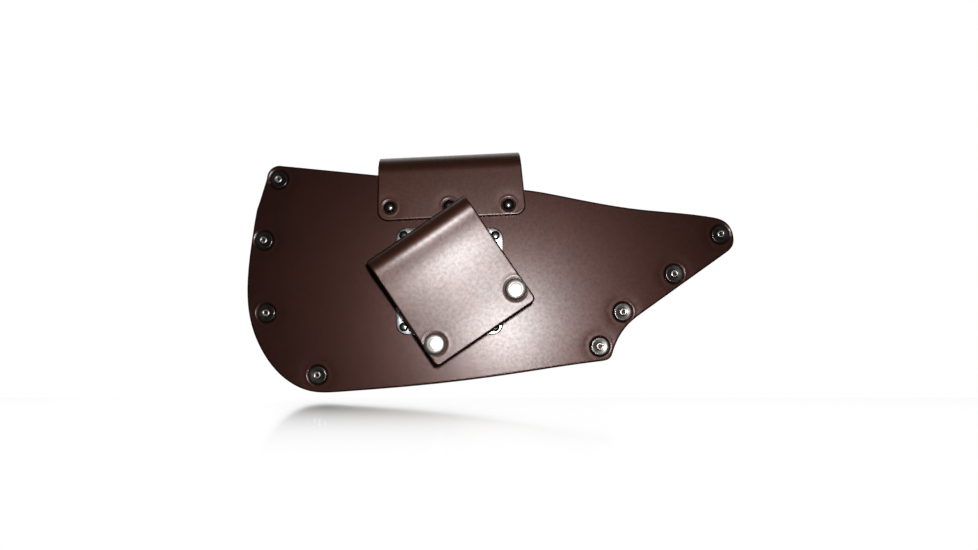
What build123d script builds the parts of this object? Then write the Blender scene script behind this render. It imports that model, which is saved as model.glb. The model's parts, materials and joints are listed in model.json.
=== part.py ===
"""Leather belt sheath for a pick-head axe, carried on a swivelling snap-open belt loop.

Millimetres. +X runs from the blade end to the pick end, +Z is up (the mouth is at the top) and
-Y points to the wearer's belt. The origin is the point of the belt loop's back leg that the belt
bears on, on the swivel's axis, so the pouch hangs behind it at positive Y.
"""

from math import cos, radians, sin
import os

from build123d import *

os.makedirs("parts", exist_ok=True)

# ------------------------------------------------------------------ driving dimensions
leather = 3.5  # thickness of every leather piece
welt = 6.0  # two layers of leather between the panels
fit = 0.05  # radial play of a shank in its hole

turntable_side = 76.2  # standard three-inch ball-bearing turntable
turntable_height = 7.9
turntable_holes = 65.0  # hole-to-hole distance of its four corner holes
turntable_corner = 8.0  # corner radius of its two plates
base_rivet_head = 3.2  # radius of the heads in its corners
sheet = 1.0  # steel of the two plates
ball_radius = 2.0
ball_track = 27.0
ball_count = 36

loop_tilt = 34.2  # belt loop turned about the swivel, degrees
loop_shift = 0.2  # its centre line stands this far off the swivel's axis
loop_fold_half = 40.6  # half width at the fold
loop_end_half = 41.6  # half width at the snap end
loop_top = 41.6  # top of the fold above the swivel
loop_end = 46.2  # cut end below the swivel
loop_depth = 15.8  # outside depth of the fold
loop_bend = 5.9  # tight bend at the back leg, at mid thickness
loop_snap_gap = 3.6  # room between the legs at the snaps
loop_snap_across = 33.7
loop_snap_below = 32.3
loop_corner = 3.5  # rounding of its cut corners
loop_pared = 0.4  # the back leg is pared thinner under its snaps
loop_pared_from = -25.0  # the belt bears on the leg above this line
loop_rivet_head = 2.7  # radius
loop_rivet_sink = 1.0  # the rivet heads lie flush in the leather, clear of the belt

flap_tilt = 2.7  # keeper flap, degrees from level
flap_shift = 3.9  # its centre line stands this far off the swivel's axis
flap_low_half = 52.8  # half width at its riveted edge
flap_crest_half = 49.8
flap_corner = 7.0
flap_low_edge = 44.5  # riveted edge above the swivel
flap_rivet_row = 53.0
flap_rivet_pitch = 42.0
flap_rivet_tilt = 1.4  # the rivet row is a little more level than the flap
flap_rivet_shift = 1.0
flap_shoulder = 78.5  # where the flap starts to bend over the mouth
flap_bend = 11.0  # bend radius at mid thickness
flap_split_angle = 45.0  # how far round the bend the free part starts
flap_gap = 3.2  # room between the flap and the outer panel, taken up by the snaps
flap_free_edge = 40.0
closure_across = 28.0
closure_row = 53.0
hinge_gap = 0.15  # half of the cut that separates a leather piece at its bend

bulge = 22.0  # how far the outer panel stands out over the axe's eye
bulge_centre = 5.0
bulge_blade_side = 91.0  # half length of the bulge towards the blade
bulge_pick_side = 88.0  # the same towards the pick, at the height of the lowest rivet
bulge_pick_low = -46.0
bulge_pick_slope = 0.7  # the bulge reaches further along the pick higher up

# rivet centres (across, up) through both panels: blade side, then pick side
blade_rivets = [(-121.5, 72.4), (-132.0, 29.2), (-130.3, -22.5), (-93.9, -66.5)]
pick_rivets = [(106.9, -46.2), (123.3, -21.7), (159.7, 5.4), (192.5, 33.6)]
edge_rivets_at = blade_rivets + pick_rivets

rivet_shank = 2.2
washer_radius = 6.35
washer_recess = 0.6
snap_cap_radius = 7.75
snap_cap_height = 3.0
snap_post = 2.0
clench = 0.8  # height of the flat ends inside the pouch and behind the plates

# ------------------------------------------------------------------ levels along Y
panel_face = leather + turntable_height  # the pouch face that carries the swivel
pocket_back = panel_face + leather
pocket_front = pocket_back + welt
stack = 2 * leather + welt


# ------------------------------------------------------------------ placing and shaping helpers
def facing_belt(depth, tilt=0.0):
    """Plane at Y = depth whose normal points at the wearer, turned by tilt degrees."""
    across = (cos(radians(tilt)), 0, sin(radians(tilt)))
    return Plane(origin=(0, depth, 0), x_dir=across, z_dir=(0, -1, 0))


def section_plane(tilt):
    """Plane across a folded strap: local x is +Y, local y is up the strap."""
    across = (cos(radians(tilt)), 0, sin(radians(tilt)))
    return Plane(origin=(0, 0, 0), x_dir=(0, 1, 0), z_dir=across)


def seats(depth, points, tilt=0.0):
    """Locations of small fittings that sit on the plane at Y = depth."""
    return [Location(facing_belt(depth, tilt)) * Pos(across, up) for across, up in points]


def turned(outline, rounding=0.0):
    """Solid turned about Z from (radius, height) corners, its top outer edge rounded."""
    with BuildPart() as piece:
        with BuildSketch(Plane.XZ):
            with BuildLine():
                Polyline(*outline, close=True)
            make_face()
        revolve(axis=Axis.Z)
        if rounding:
            top_edges = piece.edges().group_by(Axis.Z)[-1]
            fillet(top_edges.sort_by(SortBy.RADIUS)[-1], radius=rounding)
    return piece.part


def pick_reach(z):
    """Half length of the bulge towards the pick, longer higher up."""
    return bulge_pick_side + bulge_pick_slope * (z - bulge_pick_low)


def bulge_at(x, z):
    """How far the outer panel stands out at a point of the panels."""
    reach = bulge_blade_side if x < bulge_centre else pick_reach(z)
    rise = max(1 - abs(x - bulge_centre) / reach, 0.0)
    return bulge * rise * rise * (3 - 2 * rise)


def outer_face(x, z):
    """Y of the outer panel's outside face."""
    return pocket_front + leather + bulge_at(x, z)


def outer_normal(x, z, step=0.5):
    """Outward normal of the outer panel's outside face."""
    slope_x = (outer_face(x + step, z) - outer_face(x - step, z)) / (2 * step)
    slope_z = (outer_face(x, z + step) - outer_face(x, z - step)) / (2 * step)
    return Vector(-slope_x, 1, -slope_z).normalized()


def tilted(across, up, tilt):
    """Row X and Z of a point given across and up a tilted strap."""
    turn = radians(tilt)
    return across * cos(turn) - up * sin(turn), across * sin(turn) + up * cos(turn)


# ------------------------------------------------------------------ outline of the two panels
# mouth, pick tip, pick's underside, throat and its corner, bottom, blade end and its corner
with BuildLine() as panel_edge:
    Line((-121.0, 82.4), (53.0, 65.2))
    Spline(
        (53.0, 65.2), (78.5, 61.0), (133.0, 51.5), (188.0, 45.5), tangents=[(1, -0.1), (1, -0.18)]
    )
    Spline(
        (188.0, 45.5), (199.4, 38.8), (202.0, 30.5), (197.0, 20.9), tangents=[(1, -0.18), (-0.8, -0.57)]
    )
    Line((197.0, 20.9), (136.5, -22.5))
    Spline(
        (136.5, -22.5), (125.6, -32.0), (119.8, -40.7), (115.8, -51.0), tangents=[(-0.8, -0.57), (-0.3, -1)]
    )
    ThreePointArc((115.8, -51.0), (113.7, -54.6), (109.5, -56.2))
    Spline(
        (109.5, -56.2), (78.5, -60.4), (35.9, -66.7), (-82.7, -78.7), tangents=[(-1, -0.12), (-1, -0.07)]
    )
    Spline(
        (-82.7, -78.7), (-101.7, -77.3), (-118.1, -68.3), (-135.8, -44.5), (-143.3, 6.1),
        (-137.0, 50.8), (-129.9, 73.2), tangents=[(-1, -0.07), (0.3, 1)],
    )
    ThreePointArc((-129.9, 73.2), (-127.4, 79.5), (-121.0, 82.4))
with BuildSketch() as panel_shape:
    make_face(panel_edge.edges())

# ------------------------------------------------------------------ back panel, on the wearer's side
base_holes = [(i * turntable_holes / 2, j * turntable_holes / 2) for i in (-1, 1) for j in (-1, 1)]
flap_rivets_at = [
    tilted(flap_rivet_shift + i * flap_rivet_pitch, flap_rivet_row, flap_rivet_tilt) for i in (-1, 0, 1)
]
small_shank = 1.9
cap_shank = 1.5

with BuildPart() as back_panel:
    with BuildSketch(facing_belt(pocket_back)):
        add(panel_shape.sketch_local)
        with Locations(*edge_rivets_at):
            Circle(rivet_shank + fit, mode=Mode.SUBTRACT)
        with Locations(*base_holes):
            Circle(small_shank + fit, mode=Mode.SUBTRACT)
        with Locations(*flap_rivets_at):
            Circle(cap_shank + fit, mode=Mode.SUBTRACT)
    extrude(amount=leather)
    with BuildSketch(facing_belt(panel_face)):
        with Locations(*edge_rivets_at):
            Circle(washer_radius + fit)
    extrude(amount=-washer_recess, mode=Mode.SUBTRACT)
back_panel.part.label = "back_panel"
export_step(back_panel.part, "parts/back_panel.step")

# ------------------------------------------------------------------ outer panel, bulged over the eye
closure_spots = [tilted(flap_shift + i * closure_across, closure_row, flap_tilt) for i in (-1, 1)]


def closure_seat(x, z, lift):
    """Plane square to the outer panel at a closure snap, lifted off its outside face."""
    normal = outer_normal(x, z)
    return Plane(origin=Vector(x, outer_face(x, z), z) + normal * lift, x_dir=(1, 0, 0), z_dir=normal)


with BuildPart() as front_panel:
    for level in (-90, 90):
        with BuildSketch(Plane.XY.offset(level)):
            start, end = -160, 220
            foot, heel = bulge_centre - bulge_blade_side, bulge_centre + pick_reach(level)
            blade_third, pick_third = bulge_blade_side / 3, pick_reach(level) / 3
            with BuildLine():
                for low in (pocket_front, pocket_front + leather):
                    high = low + bulge
                    Line((start, low), (foot, low))
                    Bezier(
                        (foot, low), (foot + blade_third, low),
                        (bulge_centre - blade_third, high), (bulge_centre, high),
                    )
                    Bezier(
                        (bulge_centre, high), (bulge_centre + pick_third, high),
                        (heel - pick_third, low), (heel, low),
                    )
                    Line((heel, low), (end, low))
                Line((start, pocket_front), (start, pocket_front + leather))
                Line((end, pocket_front), (end, pocket_front + leather))
            make_face()
    loft(ruled=True)
    with BuildSketch(facing_belt(pocket_front + bulge + 2 * leather)):
        add(panel_shape.sketch_local)
        with Locations(*edge_rivets_at):
            Circle(rivet_shank + fit, mode=Mode.SUBTRACT)
    extrude(amount=bulge + 3 * leather, mode=Mode.INTERSECT)
    with Locations(*[Location(closure_seat(x, z, 0)) for x, z in closure_spots]):
        Cylinder(snap_post + fit, 4 * leather, mode=Mode.SUBTRACT)
        Cylinder(5.3, 2.0, align=(Align.CENTER, Align.CENTER, Align.MIN), mode=Mode.SUBTRACT)
    seat_inside = [Location(closure_seat(x, z, -leather)) for x, z in closure_spots]
    with Locations(*seat_inside):
        Cylinder(4.8, 2.0, align=(Align.CENTER, Align.CENTER, Align.MAX), mode=Mode.SUBTRACT)
front_panel.part.label = "front_panel"
export_step(front_panel.part, "parts/front_panel.step")

# ------------------------------------------------------------------ welts between the panels
pad_radius = 9.5
for welt_name, rivets, shift, keep_from, keep_to in (
    ("blade_welt", blade_rivets, (18, 18), -160, -85),
    ("pick_welt", pick_rivets, (-14, 11), 95, 220),
):
    with BuildPart() as welt_strip:
        with BuildSketch(facing_belt(pocket_front - fit)):
            add(panel_shape.sketch_local)
            with Locations(shift):
                add(panel_shape.sketch_local, mode=Mode.SUBTRACT)
            with Locations(((keep_from + keep_to) / 2, 0)):
                Rectangle(keep_to - keep_from, 300, mode=Mode.INTERSECT)
            with Locations(*rivets):
                Circle(pad_radius)
            add(panel_shape.sketch_local, mode=Mode.INTERSECT)
        extrude(amount=welt - fit)
        with BuildSketch(facing_belt(pocket_front)):
            with Locations(*rivets):
                Circle(rivet_shank + fit)
        extrude(amount=welt, mode=Mode.SUBTRACT)
    welt_strip.part.label = welt_name
    export_step(welt_strip.part, f"parts/{welt_name}.step")

# ------------------------------------------------------------------ edge rivets and their washers
edge_rivet = turned(
    [
        (0, -stack - 1.6), (5.2, -stack - 0.9), (5.2, -stack), (rivet_shank, -stack),
        (rivet_shank, 0.4), (2.7, 0.4), (2.7, 1.0), (1.25, 1.0), (1.25, -5.0), (0, -5.0),
    ],
    rounding=0.4,
)
with BuildPart() as edge_rivets:
    with Locations(*seats(panel_face, edge_rivets_at)):
        add(edge_rivet)
edge_rivets.part.label = "edge_rivets"
export_step(edge_rivets.part, "parts/edge_rivets.step")

washer_hole = rivet_shank + fit
washer_top = 0.4
edge_washer = turned(
    [
        (washer_hole, -washer_recess), (washer_radius, -washer_recess),
        (washer_radius, washer_top), (washer_hole, washer_top),
    ],
    rounding=0.3,
)
with BuildPart() as edge_washers:
    with Locations(*seats(panel_face, edge_rivets_at)):
        add(edge_washer)
edge_washers.part.label = "edge_washers"
export_step(edge_washers.part, "parts/edge_washers.step")

# ------------------------------------------------------------------ swivel: base plate, balls, top plate
ball_height = turntable_height / 2
top_sheet_low = turntable_height - sheet
base_race = turned([(22.6, sheet / 2), (31.4, sheet / 2), (30.6, 2.6), (23.4, 2.6)])
base_collar = turned([(20.0, 0), (21.0, 0), (21.0, 5.65), (23.6, 5.65), (23.6, 6.6), (20.0, 6.6)])
top_race = turned(
    [
        (21.1, 4.5), (24.6, 4.5), (24.6, 5.3), (30.6, 5.3), (31.4, 7.4), (24.0, 7.4), (24.0, 5.6),
        (21.1, 5.6),
    ]
)

with BuildPart(facing_belt(panel_face)) as swivel_base_plate:
    with BuildSketch(facing_belt(panel_face)):
        RectangleRounded(turntable_side, turntable_side, turntable_corner)
        Circle(20.0, mode=Mode.SUBTRACT)
        with GridLocations(turntable_holes, turntable_holes, 2, 2):
            Circle(small_shank + fit, mode=Mode.SUBTRACT)
    extrude(amount=sheet)
    add(base_race)
    add(base_collar)
    with Locations((0, 0, ball_height)):
        Torus(ball_track, ball_radius + fit, mode=Mode.SUBTRACT)
swivel_base_plate.part.label = "swivel_base_plate"
export_step(swivel_base_plate.part, "parts/swivel_base_plate.step")

with BuildPart(facing_belt(panel_face)) as bearing_balls:
    with Locations((0, 0, ball_height)):
        with PolarLocations(ball_track, ball_count):
            Sphere(ball_radius)
bearing_balls.part.label = "bearing_balls"
export_step(bearing_balls.part, "parts/bearing_balls.step")

half_holes = turntable_holes / 2
loop_rivets_at = [(-half_holes, half_holes), (half_holes, half_holes)]
loop_snaps_at = [(loop_shift + i * loop_snap_across, -loop_snap_below) for i in (-1, 1)]
stud_shank = 2.6

with BuildPart(facing_belt(panel_face, loop_tilt)) as swivel_top_plate:
    with BuildSketch(facing_belt(panel_face - top_sheet_low, loop_tilt)):
        RectangleRounded(turntable_side, turntable_side, turntable_corner)
        Circle(24.0, mode=Mode.SUBTRACT)
        with Locations(*loop_rivets_at):
            Circle(small_shank + fit, mode=Mode.SUBTRACT)
        with Locations(*loop_snaps_at):
            Circle(stud_shank + fit, mode=Mode.SUBTRACT)
    extrude(amount=sheet)
    add(top_race)
    with Locations((0, 0, ball_height)):
        Torus(ball_track, ball_radius + fit, mode=Mode.SUBTRACT)
swivel_top_plate.part.label = "swivel_top_plate"
export_step(swivel_top_plate.part, "parts/swivel_top_plate.step")

# ------------------------------------------------------------------ base plate rivets and inner burrs
base_rivet = turned(
    [
        (0, -leather - 1.3), (2.4, -leather - 1.3), (2.4, -leather - clench), (small_shank, -leather - clench),
        (small_shank, sheet), (base_rivet_head, sheet), (base_rivet_head, sheet + 1.2), (0, sheet + 1.2),
    ],
    rounding=0.9,
)
with BuildPart() as base_plate_rivets:
    with Locations(*seats(panel_face, base_holes)):
        add(base_rivet)
base_plate_rivets.part.label = "base_plate_rivets"
export_step(base_plate_rivets.part, "parts/base_plate_rivets.step")

with BuildPart() as base_plate_burrs:
    with Locations(*seats(pocket_back + clench, base_holes)):
        Cylinder(4.5, clench, align=(Align.CENTER, Align.CENTER, Align.MIN))
        Cylinder(small_shank + fit, 2.0, mode=Mode.SUBTRACT)
base_plate_burrs.part.label = "base_plate_burrs"
export_step(base_plate_burrs.part, "parts/base_plate_burrs.step")

# ------------------------------------------------------------------ keeper flap: riveted leg
flap_leg_mid = panel_face - leather / 2
bend_centre = flap_leg_mid + flap_bend
flap_crest = flap_shoulder + flap_bend
above_flap = flap_crest + 9.0

with BuildPart() as flap_fixed_leg:
    with BuildSketch(section_plane(flap_tilt)):
        with BuildLine():
            Line((flap_leg_mid, flap_low_edge), (flap_leg_mid, flap_shoulder))
            CenterArc((bend_centre, flap_shoulder), flap_bend, 180, -flap_split_angle)
        trace(line_width=leather)
    extrude(amount=flap_low_half + 5, both=True)
    with BuildSketch(facing_belt(bend_centre + 5, flap_tilt)) as flap_back_outline:
        with BuildLine():
            Polyline(
                (flap_shift - flap_low_half, flap_low_edge), (flap_shift + flap_low_half, flap_low_edge),
                (flap_shift + flap_crest_half, flap_crest), (flap_shift + flap_crest_half, above_flap),
                (flap_shift - flap_crest_half, above_flap), (flap_shift - flap_crest_half, flap_crest),
                close=True,
            )
        make_face()
        fillet(flap_back_outline.vertices().group_by(Axis.Y)[0], radius=flap_corner)
    extrude(amount=30, mode=Mode.INTERSECT)
    with BuildSketch(facing_belt(panel_face)):
        with Locations(*flap_rivets_at):
            Circle(cap_shank + fit)
    extrude(amount=leather, mode=Mode.SUBTRACT)
flap_fixed_leg.part.label = "flap_fixed_leg"
export_step(flap_fixed_leg.part, "parts/flap_fixed_leg.step")

flap_rivet = turned(
    [
        (0, -leather), (cap_shank, -leather), (cap_shank, leather), (4.5, leather),
        (4.5, leather + 2.0), (0, leather + 2.0),
    ],
    rounding=1.8,
)
with BuildPart() as flap_rivets:
    with Locations(*seats(panel_face, flap_rivets_at)):
        add(flap_rivet)
flap_rivets.part.label = "flap_rivets"
export_step(flap_rivets.part, "parts/flap_rivets.step")

with BuildPart() as flap_rivet_backs:
    with Locations(*seats(pocket_back, flap_rivets_at)):
        Cylinder(4.5, 1.4, align=(Align.CENTER, Align.CENTER, Align.MAX))
flap_rivet_backs.part.label = "flap_rivet_backs"
export_step(flap_rivet_backs.part, "parts/flap_rivet_backs.step")


# ------------------------------------------------------------------ keeper flap: free part
def flap_station(turn, across):
    """Mid-thickness (y, up): turn is the angle round the bend, and past 180 the way down the front."""
    up = flap_shoulder + flap_bend * sin(radians(min(turn, 180))) - max(turn - 180, 0)
    x, z = tilted(across, min(up, flap_shoulder), flap_tilt)
    front = outer_face(x, z) + flap_gap + leather / 2
    if turn <= 90:
        return bend_centre - flap_bend * cos(radians(turn)), up
    if turn <= 180:
        return bend_centre - (front - bend_centre) * cos(radians(turn)), up
    return front, up


def flap_side(turn, across, lift):
    """Point of the free part's outside (lift > 0) or inside (lift < 0) face."""
    y, up = flap_station(turn, across)
    y_before, up_before = flap_station(turn - 0.5, across)
    y_after, up_after = flap_station(turn + 0.5, across)
    way = Vector(y_after - y_before, up_after - up_before).normalized()
    return y - way.Y * lift, up + way.X * lift


flap_turns = [30 + 15 * i for i in range(11)] + [186 + 10 * i for i in range(4)]
flap_section_at = [-60, -30, 0, 30, 60]

split_turn = radians(flap_split_angle)
split_mid = (bend_centre - flap_bend * cos(split_turn), flap_shoulder + flap_bend * sin(split_turn))
split_x, split_z = tilted(0, split_mid[1], flap_tilt)
along_x, along_z = tilted(0, cos(split_turn), flap_tilt)
split_plane = Plane(
    origin=(split_x, split_mid[0], split_z),
    x_dir=(cos(radians(flap_tilt)), 0, sin(radians(flap_tilt))),
    z_dir=(along_x, sin(split_turn), along_z),
)
closure_holes = [Location(closure_seat(x, z, 0)) for x, z in closure_spots]

with BuildPart() as flap_free_leg:
    for across in flap_section_at:
        outside = [flap_side(turn, across, leather / 2) for turn in flap_turns]
        inside = [flap_side(turn, across, -leather / 2) for turn in flap_turns]
        with BuildSketch(section_plane(flap_tilt).offset(across)):
            with BuildLine():
                Spline(*outside)
                Line(outside[-1], inside[-1])
                Spline(*inside)
                Line(inside[0], outside[0])
            make_face()
    loft()
    split(bisect_by=split_plane.offset(2 * hinge_gap), keep=Keep.TOP)
    with BuildSketch(facing_belt(80, flap_tilt)) as flap_front_outline:
        with Locations((flap_shift, (flap_free_edge + above_flap) / 2)):
            Rectangle(2 * flap_crest_half, above_flap - flap_free_edge)
        fillet(flap_front_outline.vertices().group_by(Axis.Y)[0], radius=flap_corner)
    extrude(amount=80, mode=Mode.INTERSECT)
    with Locations(*closure_holes):
        with Locations((0, 0, flap_gap + leather / 2)):
            Cylinder(snap_post + fit, 3 * leather, mode=Mode.SUBTRACT)
        with Locations((0, 0, flap_gap)):
            Cylinder(6.5, 2.0, align=(Align.CENTER, Align.CENTER, Align.MAX), mode=Mode.SUBTRACT)
        with Locations((0, 0, flap_gap + leather)):
            Cylinder(8.0, 2.0, align=(Align.CENTER, Align.CENTER, Align.MIN), mode=Mode.SUBTRACT)
flap_free_leg.part.label = "flap_free_leg"
export_step(flap_free_leg.part, "parts/flap_free_leg.step")

# ------------------------------------------------------------------ belt loop: back leg and front leg
loop_back_mid = leather / 2
loop_bend_up = loop_top - leather / 2 - loop_bend
loop_crest = loop_back_mid - loop_bend  # Y of the highest line of the fold
loop_front_top = leather / 2 - loop_depth + leather
loop_fall = 7.5  # height over which the fold rolls forward and down
loop_shoulder = loop_bend_up + loop_bend - loop_fall
quarter_pull = 0.5523  # share of a quarter turn's radius that rounds it
loop_front_low = -loop_snap_gap - leather / 2
loop_flat_from = -24.2  # the legs run parallel from here down
loop_slope_top, loop_slope_low = 8.0, 45.0  # reach of its upper and lower ends, straight up and down

with BuildLine() as loop_back_path:
    Line((loop_back_mid, -loop_end), (loop_back_mid, loop_bend_up))
    CenterArc((loop_crest, loop_bend_up), loop_bend, 0, 90)
with BuildLine() as loop_front_path:
    Bezier(
        (loop_crest, loop_bend_up + loop_bend),
        (loop_crest + quarter_pull * (loop_front_top - loop_crest), loop_bend_up + loop_bend),
        (loop_front_top, loop_shoulder + quarter_pull * loop_fall),
        (loop_front_top, loop_shoulder),
    )
    Bezier(
        (loop_front_top, loop_shoulder), (loop_front_top, loop_shoulder - loop_slope_top),
        (loop_front_low, loop_flat_from + loop_slope_low), (loop_front_low, loop_flat_from),
    )
    Line((loop_front_low, loop_flat_from), (loop_front_low, -loop_end))

loop_outline = [
    (loop_shift - loop_end_half, -loop_end), (loop_shift + loop_end_half, -loop_end),
    (loop_shift + loop_fold_half, loop_top + 1), (loop_shift - loop_fold_half, loop_top + 1),
]
for leg_name, path, side, holes in (
    ("loop_back_leg", loop_back_path, 1, [(stud_shank, loop_snaps_at), (small_shank, loop_rivets_at)]),
    ("loop_front_leg", loop_front_path, -1, [(snap_post, loop_snaps_at)]),
):
    with BuildPart() as loop_leg:
        with BuildSketch(section_plane(loop_tilt)):
            trace(path.line, line_width=leather)
            with Locations((loop_crest + side * (30 + hinge_gap), 0)):
                Rectangle(60, 200, mode=Mode.INTERSECT)
        extrude(amount=loop_end_half + 5, both=True)
        with BuildSketch(facing_belt(10, loop_tilt)) as leg_outline:
            with BuildLine():
                Polyline(*loop_outline, close=True)
            make_face()
            fillet(leg_outline.vertices().group_by(Axis.Y)[0], radius=loop_corner)
            for hole_radius, spots in holes:
                with Locations(*spots):
                    Circle(hole_radius + fit, mode=Mode.SUBTRACT)
        extrude(amount=40, mode=Mode.INTERSECT)
        if side == 1:
            with BuildSketch(facing_belt(0, loop_tilt)):
                with Locations(*loop_rivets_at):
                    Circle(loop_rivet_head + fit)
            extrude(amount=-loop_rivet_sink, mode=Mode.SUBTRACT)
            with BuildSketch(facing_belt(0, loop_tilt)):
                with Locations((loop_shift, loop_pared_from)):
                    Rectangle(3 * loop_end_half, loop_end, align=(Align.CENTER, Align.MAX))
            extrude(amount=-loop_pared, mode=Mode.SUBTRACT)
    loop_leg.part.label = leg_name
    export_step(loop_leg.part, f"parts/{leg_name}.step")

loop_rivet = turned(
    [
        (0, -leather - sheet - 1.1), (loop_rivet_head, -leather - sheet - 1.1),
        (loop_rivet_head, -leather - sheet), (small_shank, -leather - sheet),
        (small_shank, -loop_rivet_sink), (loop_rivet_head, -loop_rivet_sink), (loop_rivet_head, 0), (0, 0),
    ],
    rounding=0.7,
)
with BuildPart() as hanger_rivets:
    with Locations(*seats(0, loop_rivets_at, loop_tilt)):
        add(loop_rivet)
hanger_rivets.part.label = "hanger_rivets"
export_step(hanger_rivets.part, "parts/hanger_rivets.step")

# ------------------------------------------------------------------ press snaps
snap_cap = turned(
    [
        (0, -leather), (snap_post, -leather), (snap_post, 0), (snap_cap_radius, 0),
        (snap_cap_radius, snap_cap_height), (0, snap_cap_height),
    ],
    rounding=2.7,
)
socket_radius = 6.25
socket_bore = 4.4
stud_foot = 5.0
stud_bore = 1.9
closure_bore = 1.6
loop_socket = turned(
    [
        (0, 0), (socket_radius, 0), (socket_radius, -2.6), (socket_bore, -2.6), (socket_bore, -0.6),
        (0, -0.6),
    ]
)
closure_socket = turned(
    [
        (0, 0), (socket_radius, 0), (socket_radius, -2.3), (socket_bore, -2.3), (socket_bore, -0.5),
        (0, -0.5),
    ]
)
loop_stud = turned(
    [
        (stud_shank, -leather - sheet), (stud_shank, -loop_pared), (stud_foot, -loop_pared),
        (stud_foot, 0.8), (2.7, 0.8), (2.7, 2.7), (0, 2.7), (0, 1.4), (stud_bore, 1.4),
        (stud_bore, -leather - sheet),
    ],
    rounding=0.8,
)
loop_stud_post = turned(
    [
        (0, -leather - sheet - clench), (4.4, -leather - sheet - clench), (4.4, -leather - sheet),
        (stud_bore - fit, -leather - sheet), (stud_bore - fit, 1.3), (0, 1.3),
    ]
)
closure_stud = turned(
    [
        (closure_bore, -leather), (snap_post, -leather), (snap_post, 0), (stud_foot, 0), (stud_foot, 0.6),
        (2.6, 0.6), (2.6, 2.3), (0, 2.3), (0, 1.2), (closure_bore, 1.2),
    ],
    rounding=0.8,
)
closure_stud_post = turned(
    [
        (0, -leather - clench), (4.5, -leather - clench), (4.5, -leather), (closure_bore - fit, -leather),
        (closure_bore - fit, 1.1), (0, 1.1),
    ]
)

on_panel = [Location(closure_seat(x, z, 0)) for x, z in closure_spots]
under_flap = [Location(closure_seat(x, z, flap_gap)) for x, z in closure_spots]
on_flap = [Location(closure_seat(x, z, flap_gap + leather)) for x, z in closure_spots]
front_leg_face = -loop_snap_gap - leather

for fitting_name, fitting, spots in (
    ("loop_snap_caps", snap_cap, seats(front_leg_face, loop_snaps_at, loop_tilt)),
    ("loop_snap_sockets", loop_socket, seats(-loop_snap_gap, loop_snaps_at, loop_tilt)),
    ("loop_studs", loop_stud, seats(0, loop_snaps_at, loop_tilt)),
    ("loop_stud_posts", loop_stud_post, seats(0, loop_snaps_at, loop_tilt)),
    ("closure_caps", snap_cap, on_flap),
    ("closure_sockets", closure_socket, under_flap),
    ("closure_studs", closure_stud, on_panel),
    ("closure_stud_posts", closure_stud_post, on_panel),
):
    with BuildPart() as fittings:
        with Locations(*spots):
            add(fitting)
    fittings.part.label = fitting_name
    export_step(fittings.part, f"parts/{fitting_name}.step")
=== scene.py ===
"""Leather axe sheath with a swivelling belt loop: the visible model, built round its frame.

Metres. +X runs from the blade end to the pick end, +Z is up, -Y points to the wearer's belt.
"""

import json
from math import atan2, cos, pi, radians, sin, sqrt

import bmesh
import bpy
import numpy as np
from mathutils import Matrix, Vector
from mathutils.geometry import delaunay_2d_cdt, interpolate_bezier


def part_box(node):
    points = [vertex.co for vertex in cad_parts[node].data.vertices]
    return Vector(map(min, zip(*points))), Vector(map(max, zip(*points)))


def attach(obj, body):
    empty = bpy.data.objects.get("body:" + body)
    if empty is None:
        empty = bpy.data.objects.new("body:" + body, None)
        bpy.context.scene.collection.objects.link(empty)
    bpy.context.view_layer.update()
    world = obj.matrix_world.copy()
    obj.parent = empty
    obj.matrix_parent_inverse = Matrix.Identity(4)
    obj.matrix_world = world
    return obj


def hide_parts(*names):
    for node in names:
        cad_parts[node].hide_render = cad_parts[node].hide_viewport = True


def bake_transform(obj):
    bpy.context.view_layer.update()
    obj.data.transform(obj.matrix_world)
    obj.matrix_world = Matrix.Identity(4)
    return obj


bl_info = {
    "name": "Axe Sheath",
    "version": (1, 0, 0),
    "blender": (4, 5, 0),
    "location": "View3D > Sidebar > Sheath",
    "description": "Leather axe sheath with a keeper flap and a swivelling belt loop",
    "category": "Object",
}

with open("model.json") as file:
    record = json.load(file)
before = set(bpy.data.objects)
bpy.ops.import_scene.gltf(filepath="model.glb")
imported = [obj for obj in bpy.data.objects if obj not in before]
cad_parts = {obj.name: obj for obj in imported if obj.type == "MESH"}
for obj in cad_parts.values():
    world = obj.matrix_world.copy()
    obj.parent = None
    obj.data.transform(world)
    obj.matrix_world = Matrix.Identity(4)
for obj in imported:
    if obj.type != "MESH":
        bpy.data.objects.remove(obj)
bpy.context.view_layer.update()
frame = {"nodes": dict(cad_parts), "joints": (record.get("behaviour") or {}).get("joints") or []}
MM = 0.001
WELT = 6 * MM  # two layers of leather between the panels


# ---------------------------------------------------------------- sizes read from the frame
def solids_of(node):
    """Lowest and highest corner of each separate solid of a CAD node, from left to right."""
    mesh = bmesh.new()
    mesh.from_mesh(frame["nodes"][node].data)
    bmesh.ops.remove_doubles(mesh, verts=mesh.verts, dist=1e-6)
    waiting, boxes = set(mesh.verts), []
    while waiting:
        reached = [waiting.pop()]
        solid = []
        while reached:
            vertex = reached.pop()
            solid.append(vertex.co.copy())
            for edge in vertex.link_edges:
                other = edge.other_vert(vertex)
                if other in waiting:
                    waiting.remove(other)
                    reached.append(other)
        corners = np.array(solid)
        boxes.append((Vector(corners.min(0)), Vector(corners.max(0))))
    mesh.free()
    return sorted(boxes, key=lambda box: box[0].x)


def centres_of(node):
    """Middle of each separate solid of a CAD node."""
    return [(low + high) / 2 for low, high in solids_of(node)]


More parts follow.
